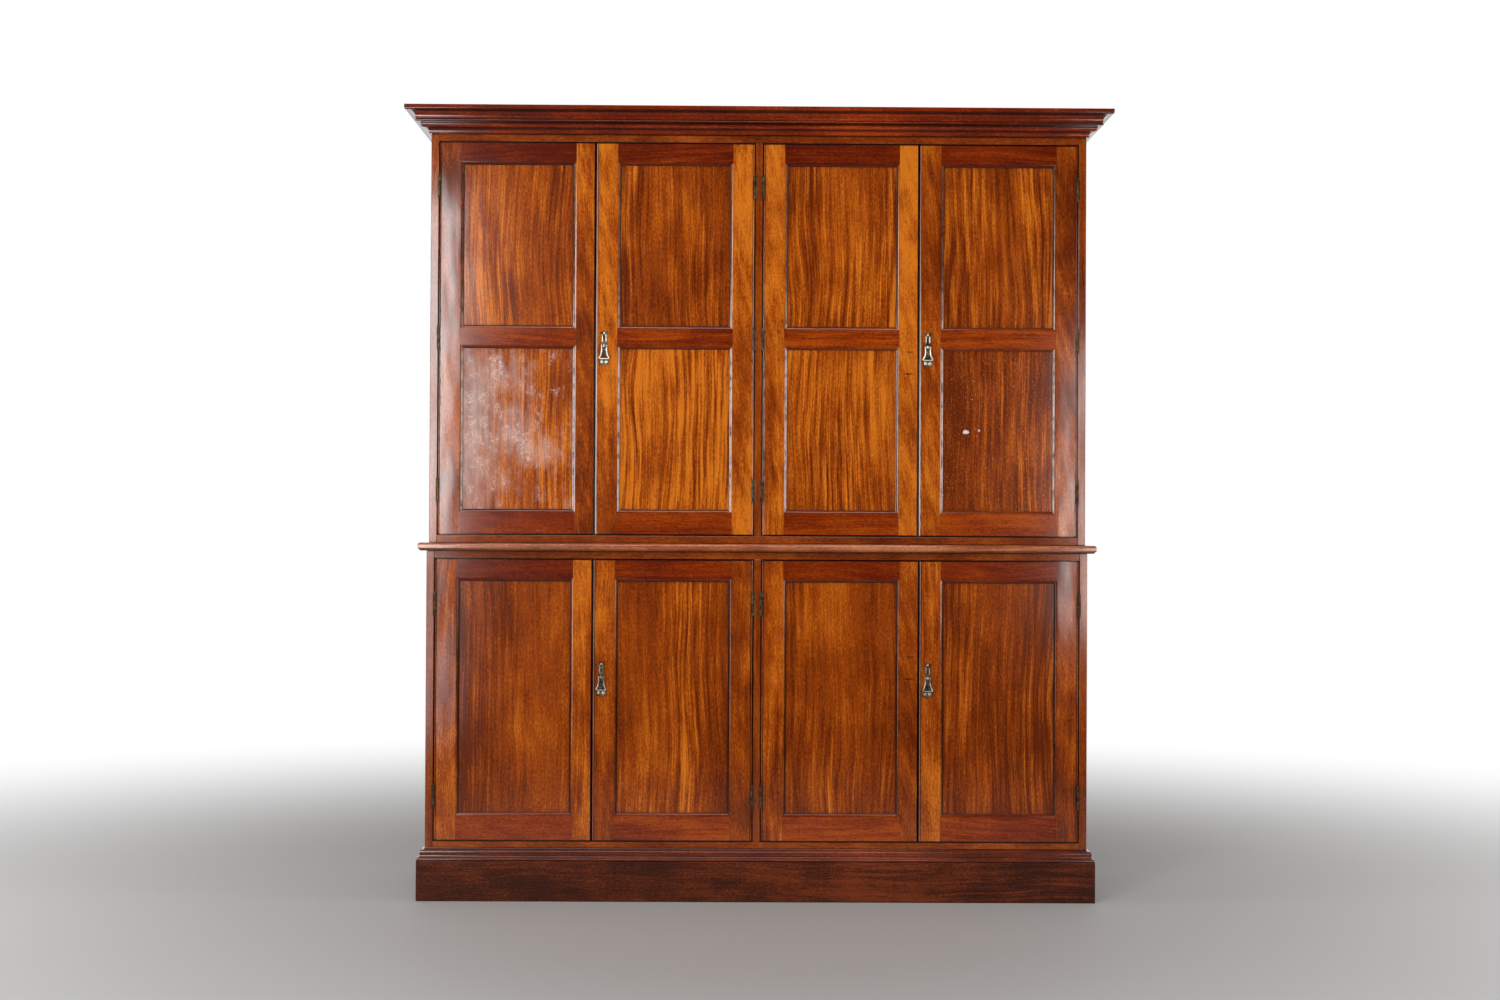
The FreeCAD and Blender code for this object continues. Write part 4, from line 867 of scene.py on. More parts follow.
# %% Rails
def rail_section(low, high, moulded_low, moulded_high):
    """Points back from the face and up, with an ovolo along each edge that meets a panel."""
    ovolo = [(RECESS - MOULD * math.cos(turn), OVOLO * (1 - math.sin(turn))) for turn in OVOLO_TURNS]
    if moulded_low:
        points = [(PANEL_BACK, low + GROOVE), (RECESS, low + GROOVE)]
        points += [(depth, low + rise) for depth, rise in reversed(ovolo)] + [(0, low + OVOLO)]
    else:
        points = [(PANEL_BACK, low), (0, low)]
    if moulded_high:
        points += [(0, high - OVOLO)] + [(depth, high - rise) for depth, rise in ovolo]
        return points + [(RECESS, high - GROOVE), (PANEL_BACK, high - GROOVE)]
    return points + [(0, high), (PANEL_BACK, high)]


def rail_form(place, left, right, low, high, moulded_low, moulded_high):
    points = rail_section(low, high, moulded_low, moulded_high)
    lowest = low + OVOLO if moulded_low else low
    highest = high - OVOLO if moulded_high else high

    def ring(x, direction, full):
        made = []
        for depth, z in points:
            past = max(0, lowest - z, z - highest)
            shown = z if full else min(max(z, lowest), highest)
            made.append((x + direction * past * full, place[0] + depth, place[1] + shown))
        return made

    front = skin([ring(left - OVOLO, 1, False), ring(left - OVOLO, 1, True),
                  ring(right + OVOLO, -1, True), ring(right + OVOLO, -1, False)])
    back = slab(left, right, place[0] + PANEL_BACK, place[0] + THICK, place[1] + low, place[1] + high)
    return carve(front, [back], "UNION")


print("%d rails in a lower door and %d in an upper one" % (len(RAILS["lower"]), len(RAILS["upper"])))

# %% [markdown]
# One door of each pair carries the lock. Its left stile has a keyhole from the front and a recess
# for the lock from the back, and the stile that it meets has a mortise for the bolt.

# %% Recesses for the lock
HANDLE_RISE = {"lower": 447, "upper": 517}
HANDLE_IN, KEYHOLE_RISE, STRIKE_RISE = 24, 20, 16
LOCK_WIDE, LOCK_DEEP, LOCK_BELOW, LOCK_ABOVE = 28, 11, 18, 36
STRIKE_DEEP, STRIKE_FRONT, STRIKE_BACK, STRIKE_HALF = 9, 13.7, 19.3, 9.3
PAST = 1


def keyhole_tool(x, z, y0, y1, eye=2.4, half_slot=1.1, foot=8):
    """A round eye over a straight slot, from one depth to another."""
    plan = [(-half_slot, -0.7 * eye), (-half_slot, -foot), (half_slot, -foot), (half_slot, -0.7 * eye)]
    plan += [(eye * math.cos(math.radians(turn)), eye * math.sin(math.radians(turn)))
             for turn in range(-45, 226, 18)]
    return skin([[(x + across, y, z + rise) for across, rise in plan] for y in (y0, y1)])


def cut_for_lock(stile, edge, front, eye):
    """The keyhole, and the recess behind it, in the stile whose outer edge is at edge."""
    return carve(stile, [
        keyhole_tool(edge + HANDLE_IN, eye, front - PAST, front + LOCK_DEEP + PAST),
        slab(edge - PAST, edge + LOCK_WIDE, front + LOCK_DEEP, front + THICK + PAST,
             eye - LOCK_BELOW, eye + LOCK_ABOVE)])


def cut_for_bolt(stile, edge, front, eye):
    """The mortise that the bolt shoots into."""
    middle = eye + STRIKE_RISE
    return carve(stile, [slab(edge - STRIKE_DEEP, edge + PAST, front + STRIKE_FRONT, front + STRIKE_BACK,
                              middle - STRIKE_HALF, middle + STRIKE_HALF)])


print("keyholes %d mm above the handles' pins" % KEYHOLE_RISE)

# %% [markdown]
# A tone makes each board lighter or darker, because no two trees are alike. The boards of a door
# were chosen to go together, and the rails differ by a little chance of their own.

# %% Make the eight doors
PANEL_TONES = {"lower": ((0.31,), (0.36,), (0.36,), (0.29,)),
               "upper": ((0.52, 0.47), (0.69, 0.34), (0.47, 0.43), (0.31, 0.38))}
STILE_TONES = {"lower": ((0.37, 0.66), (0.36, 0.33), (0.37, 0.54), (0.51, 0.22)),
               "upper": ((0.22, 0.24), (0.47, 0.83), (0.67, 0.89), (0.57, 0.36))}
RAIL_TONES = {"lower": (0.58, 0.38), "upper": (0.52, 0.60, 0.28)}
WORN_PANELS = {"upper_door_1_panel_1": bloomed_wood, "upper_door_4_panel_1": chipped_wood}
NUMBERS, LOCKED, BOLTED = (1, 2, 3, 4), (2, 4), (1, 3)
SCRATCHED_DOOR = 3
IN_GROOVE, NO_SIDE = 9, 1000
RAIL_CHANCE = 0.06


def make_stiles(level, number, name, low, high, rails):
    locked = number in LOCKED
    place, height, hinges = (low[1], low[2]), high[2] - low[2], HINGE_STARTS[level]
    left = stile_form(place, low[0], 1, STILE, height, True, rails, () if locked else hinges)
    right = stile_form(place, high[0], -1, STILE if locked else MEETING_STILE, height, locked, rails,
                       hinges if locked else ())
    eye = low[2] + HANDLE_RISE[level] + KEYHOLE_RISE
    if locked:
        left = cut_for_lock(left, low[0], low[1], eye)
    else:
        right = cut_for_bolt(right, high[0], low[1], eye)
    # Only the upper stiles carry the pale painted highlights on their ovolos.
    finish = highlighted_stile_wood if level == "upper" else stile_wood
    scratched = number == SCRATCHED_DOOR
    left_tone, right_tone = STILE_TONES[level][number - 1]
    # The left stile of a locking door carries the painted highlight on its bead.
    return [
        piece(name + "_left_stile", left, finish, name, "Z", left_tone,
              outline=(low[0], low[2], high[2]), highlit_bead=float(locked)),
        piece(name + "_right_stile", right, scratched_wood if scratched else finish, name, "Z",
              right_tone, marked=scratched, outline=(high[0], low[2], high[2]))]


def make_door(level, number):
    name = "%s_door_%d" % (level, number)
    low, high = box_of(name)
    front, bottom, rails = low[1], low[2], RAILS[level]
    made = make_stiles(level, number, name, low, high, rails)
    left, right = low[0] + STILE, high[0] - (STILE if number in LOCKED else MEETING_STILE)
    luck = random.Random(name)
    for step, rail in enumerate(rails):
        made.append(piece(
            "%s_rail_%d" % (name, step + 1), rail_form((front, bottom), left, right, *rail), rail_wood,
            name, "X", RAIL_TONES[level][step] + luck.uniform(-RAIL_CHANCE, RAIL_CHANCE),
            outline=(low[0] - NO_SIDE, bottom, high[2])))
    for step, (below, above) in enumerate(zip(rails, rails[1:])):
        title = "%s_panel_%d" % (name, step + 1)
        form = slab(left - IN_GROOVE, right + IN_GROOVE, front + RECESS, front + PANEL_BACK,
                    bottom + below[1] - IN_GROOVE, bottom + above[0] + IN_GROOVE)
        usual = panel_wood if level == "upper" else lower_panel_wood
        made.append(piece(title, form, WORN_PANELS.get(title, usual), name, "Z",
                          PANEL_TONES[level][number - 1][step], marked=title in WORN_PANELS))
    stand_for(name, "door_mahogany", *made)
    return made


doors = [make_door(level, number) for level in ("lower", "upper") for number in NUMBERS]
print("eight doors of %d pieces" % sum(len(parts) for parts in doors))

# %% [markdown]
# The backs are narrow pine boards set side by side, which no one was meant to see. Each is a piece
# of its own, so each has its own grain and a small worn arris at the joints.

# %% Set the back boards side by side
BACK_BOARD_COUNT, BOARD_CHANCE = 8, 0.14


def make_back(level):
    low, high = box_of(level + "_back_boards")
    width = (high[0] - low[0]) / BACK_BOARD_COUNT
    luck = random.Random(level + " back boards")
    for step in range(BACK_BOARD_COUNT):
        start = low[0] + step * width
        tone = MIDDLE_TONE + luck.uniform(-BOARD_CHANCE, BOARD_CHANCE)
        board = piece("%s_back_board_%d" % (level, step + 1),
                      slab(start, start + width, low[1], high[1], low[2], high[2]),
                      pine_run, "cupboard", "Z", tone, arris=1.4)
        stand_for(level + "_back_boards", "inside_pine", board)


for level in ("lower", "upper"):
    make_back(level)
print("two backs of %d boards" % BACK_BOARD_COUNT)

# %% [markdown]
# ## Cornice, waist, base moulding and plinth
# A moulding is a run of small hollows and rounds that catch the light in lines. Its section is
# given in shares of its width and height. A corner with four numbers is reached by a round through
# the second pair. The sections are the CAD's, with finer rounds.

# %% Sections of the mouldings
CORNICE_OUT, CORNICE_UP, CORNICE_THICK = 66, 69, 18
BASE_OUT, BASE_UP = 20, 33
CORNICE = [(0, 0), (0.10, 0), (0.10, 0.06), (0.25, 0.21, 0.14, 0.165), (0.29, 0.21),
           (0.40, 0.37, 0.385, 0.27), (0.40, 0.41), (0.56, 0.41), (0.56, 0.49, 0.615, 0.45),
           (0.60, 0.53), (0.90, 0.80, 0.66, 0.73), (0.94, 0.80), (1.0, 0.87, 0.983, 0.82), (1.0, 1.0)]
BASE = [(0, 0), (0.94, 0), (0.94, 0.18, 1.0, 0.09), (0.88, 0.22), (0.60, 0.47, 0.66, 0.30),
        (0.60, 0.54), (0.40, 0.86, 0.57, 0.77), (0.32, 0.86), (0, 1.0, 0.10, 0.90)]
ROUND_RUNS = 10


def arc(start, middle, end, runs):
    """Points on the round through three points, without its start."""
    (ax, ay), (bx, by), (cx, cy) = start, middle, end
    area = 2 * (ax * (by - cy) + bx * (cy - ay) + cx * (ay - by))
    a2, b2, c2 = ax * ax + ay * ay, bx * bx + by * by, cx * cx + cy * cy
    u = (a2 * (by - cy) + b2 * (cy - ay) + c2 * (ay - by)) / area
    v = (a2 * (cx - bx) + b2 * (ax - cx) + c2 * (bx - ax)) / area
    radius = math.hypot(ax - u, ay - v)
    first = math.atan2(ay - v, ax - u)
    sweep = (math.atan2(cy - v, cx - u) - first) % FULL_TURN
    if area < 0:
        sweep -= FULL_TURN
    return [(u + radius * math.cos(first + turn), v + radius * math.sin(first + turn))
            for turn in fan(sweep, runs)[1:]]


def moulding_section(shares, out, up):
    section = []
    for corner in shares:
        point = (corner[0] * out, corner[1] * up)
        if len(corner) == 4:
            section += arc(section[-1], (corner[2] * out, corner[3] * up), point, ROUND_RUNS)
        else:
            section.append(point)
    return section


cornice_section = moulding_section(CORNICE, CORNICE_OUT, CORNICE_UP)
base_section = moulding_section(BASE, BASE_OUT, BASE_UP)
print("sections of %d and %d points" % (len(cornice_section), len(base_section)))

# %% [markdown]
# The moulding is planed on a straight length and cut to forty-five degrees at the corners, where
# the return along the end meets it. In the code, a point of the section that lies further out also
# lies further along at the corner, and that makes the mitre.

# %% Run the cornice
BACK = box_of("cornice")[1][1]
BACK_RAIL = 20


def mitred_run(name, section, half, front, base, finish, arris, tone):
    """A front length and two returns, from a section of (out, up) points."""
    def corner(side):
        return [(side * (half + out), front - out, base + up) for out, up in section]

    def square_end(side):
        return [(side * (half + out), BACK, base + up) for out, up in section]

    runs = {"front": [corner(-1), corner(1)], "left": [corner(-1), square_end(-1)],
            "right": [corner(1), square_end(1)]}
    return [piece("%s_%s" % (name, end), skin(rings), finish, "cupboard",
                  "X" if end == "front" else "Y", tone, arris, marked=True)
            for end, rings in runs.items()]


(_, upper_front, _), (upper_half, _, _) = box_of("upper_end_right")
cornice_base = box_of("cornice")[0][2]
cornice_section += [(-CORNICE_THICK, CORNICE_UP), (-CORNICE_THICK, 0)]
cornice = mitred_run("cornice_length", cornice_section, upper_half, upper_front, cornice_base,
                     cornice_wood, 0.5, 0.5)
cornice_back = slab(CORNICE_THICK - upper_half, upper_half - CORNICE_THICK, BACK - BACK_RAIL, BACK,
                    cornice_base, cornice_base + CORNICE_UP)
cornice.append(piece("cornice_back_rail", cornice_back, moulding_wood, "cupboard", "X", 0.4))
stand_for("cornice", "moulding_mahogany", *cornice)
print("a cornice of %d pieces" % len(cornice))

# %% [markdown]
# The plinth is a plain box that carries the cupboard, with a board along its back and one through
# its middle. Three bearers lie on it, and the base moulding is planted round their front and ends.

# %% Run the base moulding and build the plinth
PLINTH_OUT, PLINTH_IN, PLINTH_UP, BEARER = 21, 11, 110, 21

(_, lower_front, _), (lower_half, _, _) = box_of("lower_end_right")
base = mitred_run("base_moulding", base_section, lower_half, lower_front, PLINTH_UP, base_wood, 0.4, 0.42)
stand_for("base_moulding", "moulding_mahogany", *base)

plinth_section = [(-PLINTH_IN, 0), (PLINTH_OUT, 0), (PLINTH_OUT, PLINTH_UP), (-PLINTH_IN, PLINTH_UP)]
plinth = mitred_run("plinth_rail", plinth_section, lower_half, lower_front, 0, plinth_wood, 1.2, 0.5)
inside, bearer_end = lower_half - PLINTH_IN, lower_half - BEARER
rail_front, bearer_top = BACK - PLINTH_OUT - PLINTH_IN, PLINTH_UP + BASE_UP
for name, sides in {
        "plinth_back": (-inside, inside, rail_front, BACK, 0, PLINTH_UP),
        "plinth_middle": (-BEARER / 2, BEARER / 2, lower_front + PLINTH_IN, rail_front, 0, PLINTH_UP),
        "base_bearer_front": (-bearer_end, bearer_end, lower_front, lower_front + BEARER,
                              PLINTH_UP, bearer_top),
        "base_bearer_back": (-bearer_end, bearer_end, BACK - BEARER, BACK, PLINTH_UP, bearer_top),
        "base_bearer_middle": (-BEARER / 2, BEARER / 2, lower_front + BEARER, BACK - BEARER,
                               PLINTH_UP, bearer_top)}.items():
    plinth.append(piece(name, slab(*sides), pine_run, "cupboard", "Y" if "middle" in name else "X",
                        arris=1.0))
stand_for("plinth", "plinth_mahogany", *plinth)
print("a base moulding of %d pieces and a plinth of %d" % (len(base), len(plinth)))

# %% [markdown]
# The waist is one board between the two carcases. Its edge is rounded above and sloped below, and
# it stands out on three sides, so the rings are smaller or larger outlines of the same board.

# %% Shape the waist board
WAIST_SLOPE, NOSE_START, NOSE = 7, 14, 8

waist_low, waist_high = box_of("waist_board")
waist_edge = [(WAIST_SLOPE, 0), (0, WAIST_SLOPE), (0, NOSE_START)]
waist_edge += [(NOSE - NOSE * math.cos(turn), NOSE_START + NOSE * math.sin(turn))
               for turn in fan(math.pi / 2, 8)[1:]]
rings = []
for inset, rise in waist_edge:
    x0, x1, y0 = waist_low[0] + inset, waist_high[0] - inset, waist_low[1] + inset
    z = waist_low[2] + rise
    rings.append([(x0, y0, z), (x1, y0, z), (x1, BACK, z), (x0, BACK, z)])
waist = piece("waist_top", skin(rings), waist_wood, "cupboard", "X", 0.62, 0.5, marked=True)
stand_for("waist_board", "moulding_mahogany", waist)
print("a waist board %.0f mm wide" % (waist_high[0] - waist_low[0]))

# %% [markdown]
# ## Aged brass
# The hinges and handles are cast or drawn brass that has browned for a century. Tarnish lies in
# patches and in the corners, which go nearly black, and handling keeps the high places bright. The
# handles were wiped with the doors, so their raised edges are brighter than the hinges. The locks
# are brass too, inside the doors where it stays duller, and the bolts and their screws are steel.

# %% Metal finishes
TARNISH_SCALE, GRAIN_SCALE, DENTS = 90, 900, 0.00012
TARNISH_EDGE = 0.14


def metal(name, clean, tarnish, roughness, wear=0.5, reach=0.004):
    """Clean and tarnished metal. More wear leaves more of it clean, away from the corners."""
    made, tree = new_material(name)
    coords = add(tree, "TexCoord").outputs["Object"]
    patches = add(tree, "TexNoise", {
        "Vector": coords, "Scale": TARNISH_SCALE, "Detail": 4.0, "Roughness": 0.6}).outputs["Fac"]
    grains = add(tree, "TexNoise", {
        "Vector": coords, "Scale": GRAIN_SCALE, "Detail": 2.0}).outputs["Fac"]
    corners = add(tree, "AmbientOcclusion", {"Distance": reach}, samples=4).outputs["AO"]
    cover = calc(tree, "MAXIMUM", ranged(tree, corners, 0.95, 0.45),
                 ranged(tree, patches, wear - TARNISH_EDGE, wear + TARNISH_EDGE))
    rough = calc(tree, "ADD", calc(tree, "MULTIPLY", cover, 0.22), roughness, weigh(tree, grains, 0.15))
    bump = add(tree, "Bump", {"Strength": 0.5, "Distance": DENTS, "Height": patches}).outputs[0]
    show(tree, add(tree, "BsdfPrincipled", {
        "Base Color": mixed(tree, cover, (*clean, 1), tarnish), "Metallic": 1.0, "Roughness": rough,
        "Normal": bump}))
    return made


handle_brass = metal("darkened brass", (0.240, 0.190, 0.120), (0.030, 0.022, 0.014), 0.30, 0.46, 0.009)
rubbed_lit_rims_brass = metal("rubbed brass", (0.92, 0.84, 0.68), (0.160, 0.120, 0.075), 0.36, 0.66, 0.0025)
# A darker copy of the rubbed brass for the lower handles, as painted shade: they mirror less light.
shaded_rims_brass = metal("less rubbed brass", (0.58, 0.52, 0.42), (0.090, 0.068, 0.042), 0.34, 0.56, 0.0025)
hinge_brass = metal("browned brass", (0.200, 0.120, 0.055), (0.050, 0.026, 0.014), 0.42, 0.46)
lock_brass = metal("dull brass", (0.42, 0.30, 0.13), (0.140, 0.085, 0.038), 0.36, 0.52)
steel = metal("dull steel", (0.42, 0.41, 0.39), (0.120, 0.095, 0.075), 0.34, 0.52)
print("%d finishes in all, with the floor's" % len(finishes))

# %% [markdown]
# ## Small parts
# Hinges, handles and locks repeat the same little forms: screws, knuckles and knobs. Each form is
# made once, copied to its places by a matrix that moves and turns it, and gathered into one piece.
# Screws of this age are slotted, and no two slots point the same way.

# %% Place and gather small forms
SCREW_RADIUS, SCREW_SINK, SCREW_TAPER = 2.9, 1.6, 0.4
SLOT_SHARE, SLOT_DEEP, SLOT_TURNS = 0.13, 0.5, 3


def gather(parts):
    """Many forms as one. Each comes with the matrix that puts it in its place."""
    whole = bmesh.new()
    spare = bpy.data.meshes.new("spare")
    for form, matrix in parts:
        form.to_mesh(spare)
        count = len(whole.verts)
        whole.from_mesh(spare)
        whole.verts.ensure_lookup_table()
        bmesh.ops.transform(whole, matrix=matrix, verts=whole.verts[count:])
    bpy.data.meshes.remove(spare)
    bmesh.ops.recalc_face_normals(whole, faces=whole.faces)
    return whole


def moved(x, y, z):
    return Matrix.Translation((MM * x, MM * y, MM * z))


def facing(direction, place, turn):
    """Turns a form made along +Z to face a direction, at a place in millimetres."""
    turned_to = Vector(direction).to_track_quat("Z", "Y").to_matrix().to_4x4()
    return moved(*place) @ turned_to @ Matrix.Rotation(turn, 4, "Z")


def screw_head(radius):
    """A flat countersunk head with its face at z = 0."""
    head = turned([(-SCREW_SINK, radius * SCREW_TAPER), (0, radius)], 20)
    half = SLOT_SHARE * radius
    slot = slab(-radius - PAST, radius + PAST, -half, half, -SLOT_DEEP, PAST)
    return carve(head, [slot])


screw = screw_head(SCREW_RADIUS)
print("screws of %.1f mm across" % (2 * SCREW_RADIUS))

# %% [markdown]
# ## Butt hinges
# A butt hinge is two leaves let in flush, one in the carcase and one in the edge of the door, with
# knuckles round a common pin. Only the knuckles show while a door is shut. The door has the middle
# knuckle, so the door's weight rests on the one below. Each leaf has three countersunk screws.

# %% Forms of a hinge
THIRD = HINGE / 3
PIN_ACROSS, PIN_AHEAD, PIN_RADIUS, PIN_EASE, PIN_END = 1.5, 1, 1.45, 0.3, 0.9
KNUCKLE_RADIUS, KNUCKLE_EASE, KNUCKLE_END, CLEAR = 3.1, 0.35, 0.4, 0.2
FRAME_LEAF, FRAME_WING, WING_AHEAD = (-4, -2), (-4, 0.5), 2


def knuckle(low, high):
    return turned([(low, KNUCKLE_RADIUS - KNUCKLE_EASE), (low + KNUCKLE_EASE, KNUCKLE_RADIUS),
                   (high - KNUCKLE_EASE, KNUCKLE_RADIUS), (high, KNUCKLE_RADIUS - KNUCKLE_EASE)])


def leaf(side, x0, x1, y0, y1, z0, z1):
    return slab(min(side * x0, side * x1), max(side * x0, side * x1), y0, y1, z0, z1)


def door_half(side):
    """The leaf in the door and the middle knuckle, from the door's edge and the hinge's foot."""
    low, high = THIRD + CLEAR, 2 * THIRD - CLEAR
    return gather([
        (leaf(side, 0, LEAF, BEAD, LEAF_BACK, 0, HINGE), Matrix()),
        (leaf(side, 0, LEAF, -PIN_AHEAD, BEAD + CLEAR, low, high), Matrix()),
        (knuckle(low, high), moved(side * PIN_ACROSS, -PIN_AHEAD, 0))])


def frame_half(side):
    """The leaf in the carcase, the outer two knuckles and the pin."""
    low, high, pin = THIRD - CLEAR, 2 * THIRD + CLEAR, moved(side * PIN_ACROSS, -PIN_AHEAD, 0)
    rod = turned([(0, PIN_END), (PIN_EASE, PIN_RADIUS), (HINGE - PIN_EASE, PIN_RADIUS),
                  (HINGE, PIN_END)], 12)
    return gather([
        (leaf(side, *FRAME_LEAF, 0, LEAF_BACK, 0, HINGE), Matrix()),
        (leaf(side, *FRAME_WING, -WING_AHEAD, 0, 0, low), Matrix()),
        (leaf(side, *FRAME_WING, -WING_AHEAD, 0, high, HINGE), Matrix()),
        (knuckle(KNUCKLE_END, low), pin), (knuckle(high, HINGE - KNUCKLE_END), pin), (rod, pin)])


print("hinges of %d mm with knuckles %.1f mm across" % (HINGE, 2 * KNUCKLE_RADIUS))

# %% [markdown]
# Every hinge of a door is the same, so the leaves of one door are gathered into one piece that
# turns with the door and one that stays on the carcase. The screws are pieces of their own.

# %% Hang the doors
SCREW_BACK, SCREW_STAGGER = 10.5, 1.5


def hinge_screws(side, moving, luck):
    """Three screws up a leaf, the middle one set forward."""
    face = side * (0 if moving else FRAME_LEAF[1])
    out = (-side if moving else side, 0, 0)
    made = []
    for step in range(3):
        place = (face, SCREW_BACK + SCREW_STAGGER * (-1) ** step, THIRD * (step + 0.5))
        made.append((screw, facing(out, place, luck.uniform(0, SLOT_TURNS))))
    return made


def make_hinges(level, number):
    name = "%s_door_%d" % (level, number)
    low, high = box_of(name)
    edge, side = (high[0], -1) if number in LOCKED else (low[0], 1)
    luck = random.Random(name + " hinges")
    places = [moved(edge, low[1], low[2] + start) for start in HINGE_STARTS[level]]
    made = []
    for moving, body, node, word in (
            (True, name, name + "_hinge_leaves", "leaves"),
            (False, "cupboard", "hinge_frame_leaves", "frame_leaves")):
        half = door_half(side) if moving else frame_half(side)
        leaves = piece("%s_%s" % (name, word), gather([(half, place) for place in places]),
                       hinge_brass, body, arris=0.25)
        screws = [(form, place @ turn) for place in places
                  for form, turn in hinge_screws(side, moving, luck)]
        heads = piece("%s_%s_screws" % (name, word), gather(screws), hinge_brass, body, arris=0.15)
        stand_for(node, "hinge_brass", leaves, heads)
        made += [leaves, heads]
    return made


hinges = [make_hinges(level, number) for level in ("lower", "upper") for number in NUMBERS]
print("%d pieces of hinge" % sum(len(made) for made in hinges))

# %% [markdown]
# ## Drop handles
# Each handle is a thin cast plate with a keyhole, a round boss below the keyhole and a wire loop
# that hangs from a pin through the boss. Behind the loop the plate swells into a pear-shaped pad,
# which keeps the loop from marking the wood. Each outline is one half, in shares of a width and
# a height, that is mirrored and smoothed. The corners are close to the CAD's.

# %% Outlines of the handle
PLATE = [(0, .470), (.21, .478), (.40, .500), (.30, .425), (.25, .340), (.23, .190), (.23, .020),
         (.25, -.130), (.30, -.250), (.39, -.330), (.44, -.400), (.43, -.455), (.36, -.490), (.16, -.500),
         (0, -.480)]
LOOP = [(0, -1.0), (.45, -1.0), (.86, -.985), (1.0, -.93), (.94, -.86), (.78, -.76), (.63, -.62),
        (.54, -.45), (.50, -.24)]
PEAR = [(0, 0), (.25, 0), (.33, -.30), (.50, -.64), (.34, -.90), (0, -1.0)]
PLATE_WIDE, PLATE_LONG, PLATE_DROP = 28, 91, 7
PEAR_WIDE, PEAR_LONG = 10.4, 27
SMOOTH_RUNS = 3


def smooth(points, closed=True):
    """More points on a smooth line through the given ones."""
    made = []
    count = len(points)
    for index in range(count if closed else count - 1):
        picks = [(index + step) % count if closed else min(max(index + step, 0), count - 1)
                 for step in (-1, 0, 1, 2)]
        p0, p1, p2, p3 = [Vector(points[pick]) for pick in picks]
        for t in fan(1, SMOOTH_RUNS)[:-1]:
            made.append(0.5 * (2 * p1 + (p2 - p0) * t + (2 * p0 - 5 * p1 + 4 * p2 - p3) * t ** 2
                               + (3 * p1 - p0 - 3 * p2 + p3) * t ** 3))
    return made if closed else made + [Vector(points[-1])]


def both_halves(shares, width, height, drop=0.0):
    right = [(across * width, up * height - drop) for across, up in shares]
    return right + [(-across, up) for across, up in right[-2:0:-1]]


plate_outline = smooth(both_halves(PLATE, PLATE_WIDE, PLATE_LONG, PLATE_DROP))
pear_outline = smooth(both_halves(PEAR, PEAR_WIDE, PEAR_LONG))
print("%d points round a plate and %d round a pear" % (len(plate_outline), len(pear_outline)))

# %% [markdown]
# The plate is skinned over outlines that shrink towards its face. The pear shrinks towards a point
# in its middle as it rises, like a cushion. The loop is a round wire that gets thicker downward.

# %% Plate, pear and loop
PLATE_RINGS = ((0, 0), (0, -1.1), (0.5, -1.8), (1.3, -2.0))
PLATE_THROUGH = 4
PEAR_MIDDLE, PEAR_BASE, PEAR_RISE, PEAR_RINGS, RINGS_TO_TOP = 15, 1.9, 3, 5, 4.6
LOOP_HALF, LOOP_LONG, LOOP_WIRE, EYE_IN, THICKEST_AT = 12.7, 35.5, 1.9, 6.9, 36.5


def plate_form():
    rings = []
    for inset, y in PLATE_RINGS:
        ring = []
        for index, point in enumerate(plate_outline):
            along = plate_outline[(index + 1) % len(plate_outline)] - plate_outline[index - 1]
            inward = Vector((along.y, -along.x)).normalized()
            ring.append((point.x + inset * inward.x, y, point.y + inset * inward.y))
        rings.append(ring)
    return carve(skin(rings), [keyhole_tool(0, KEYHOLE_RISE, -PLATE_THROUGH, PLATE_THROUGH)])


def pear_form():
    rings = []
    for step in range(PEAR_RINGS):
        angle = math.pi / 2 * step / RINGS_TO_TOP
        share = math.cos(angle)
        lift = 0.35 + 0.65 * share
        rings.append([(point.x * share, -PEAR_BASE - PEAR_RISE * math.sin(angle),
                       (point.y + PEAR_MIDDLE) * lift - PEAR_MIDDLE) for point in pear_outline])
    return skin(rings)


def loop_form():
    half = [(LOOP_HALF * across, LOOP_LONG * up) for across, up in LOOP] + [(EYE_IN, 0)]
    line = smooth([(-x, z) for x, z in reversed(half[1:])] + half, closed=False)
    rings = []
    for index, point in enumerate(line):
        along = line[min(index + 1, len(line) - 1)] - line[max(index - 1, 0)]
        across = Vector((along.y, -along.x)).normalized()
        thick = LOOP_WIRE * (0.86 + 0.26 * min(1, -point.y / THICKEST_AT))
        ring = []
        for angle in fan(FULL_TURN, 12)[:-1]:
            out, back = thick * math.cos(angle), thick * math.sin(angle)
            ring.append((point.x + out * across.x, back, point.y + out * across.y))
        rings.append(ring)
    return skin(rings)


print("a loop of %.1f mm wire" % (2 * LOOP_WIRE))

# %% [markdown]
# The boss, its cap, the studs on the plate and the eyes of the loop are turned. Their profiles are
# pairs of depth and radius. The raised parts are a piece of their own, because rubbing has left
# them bright while the plate round them is dark.

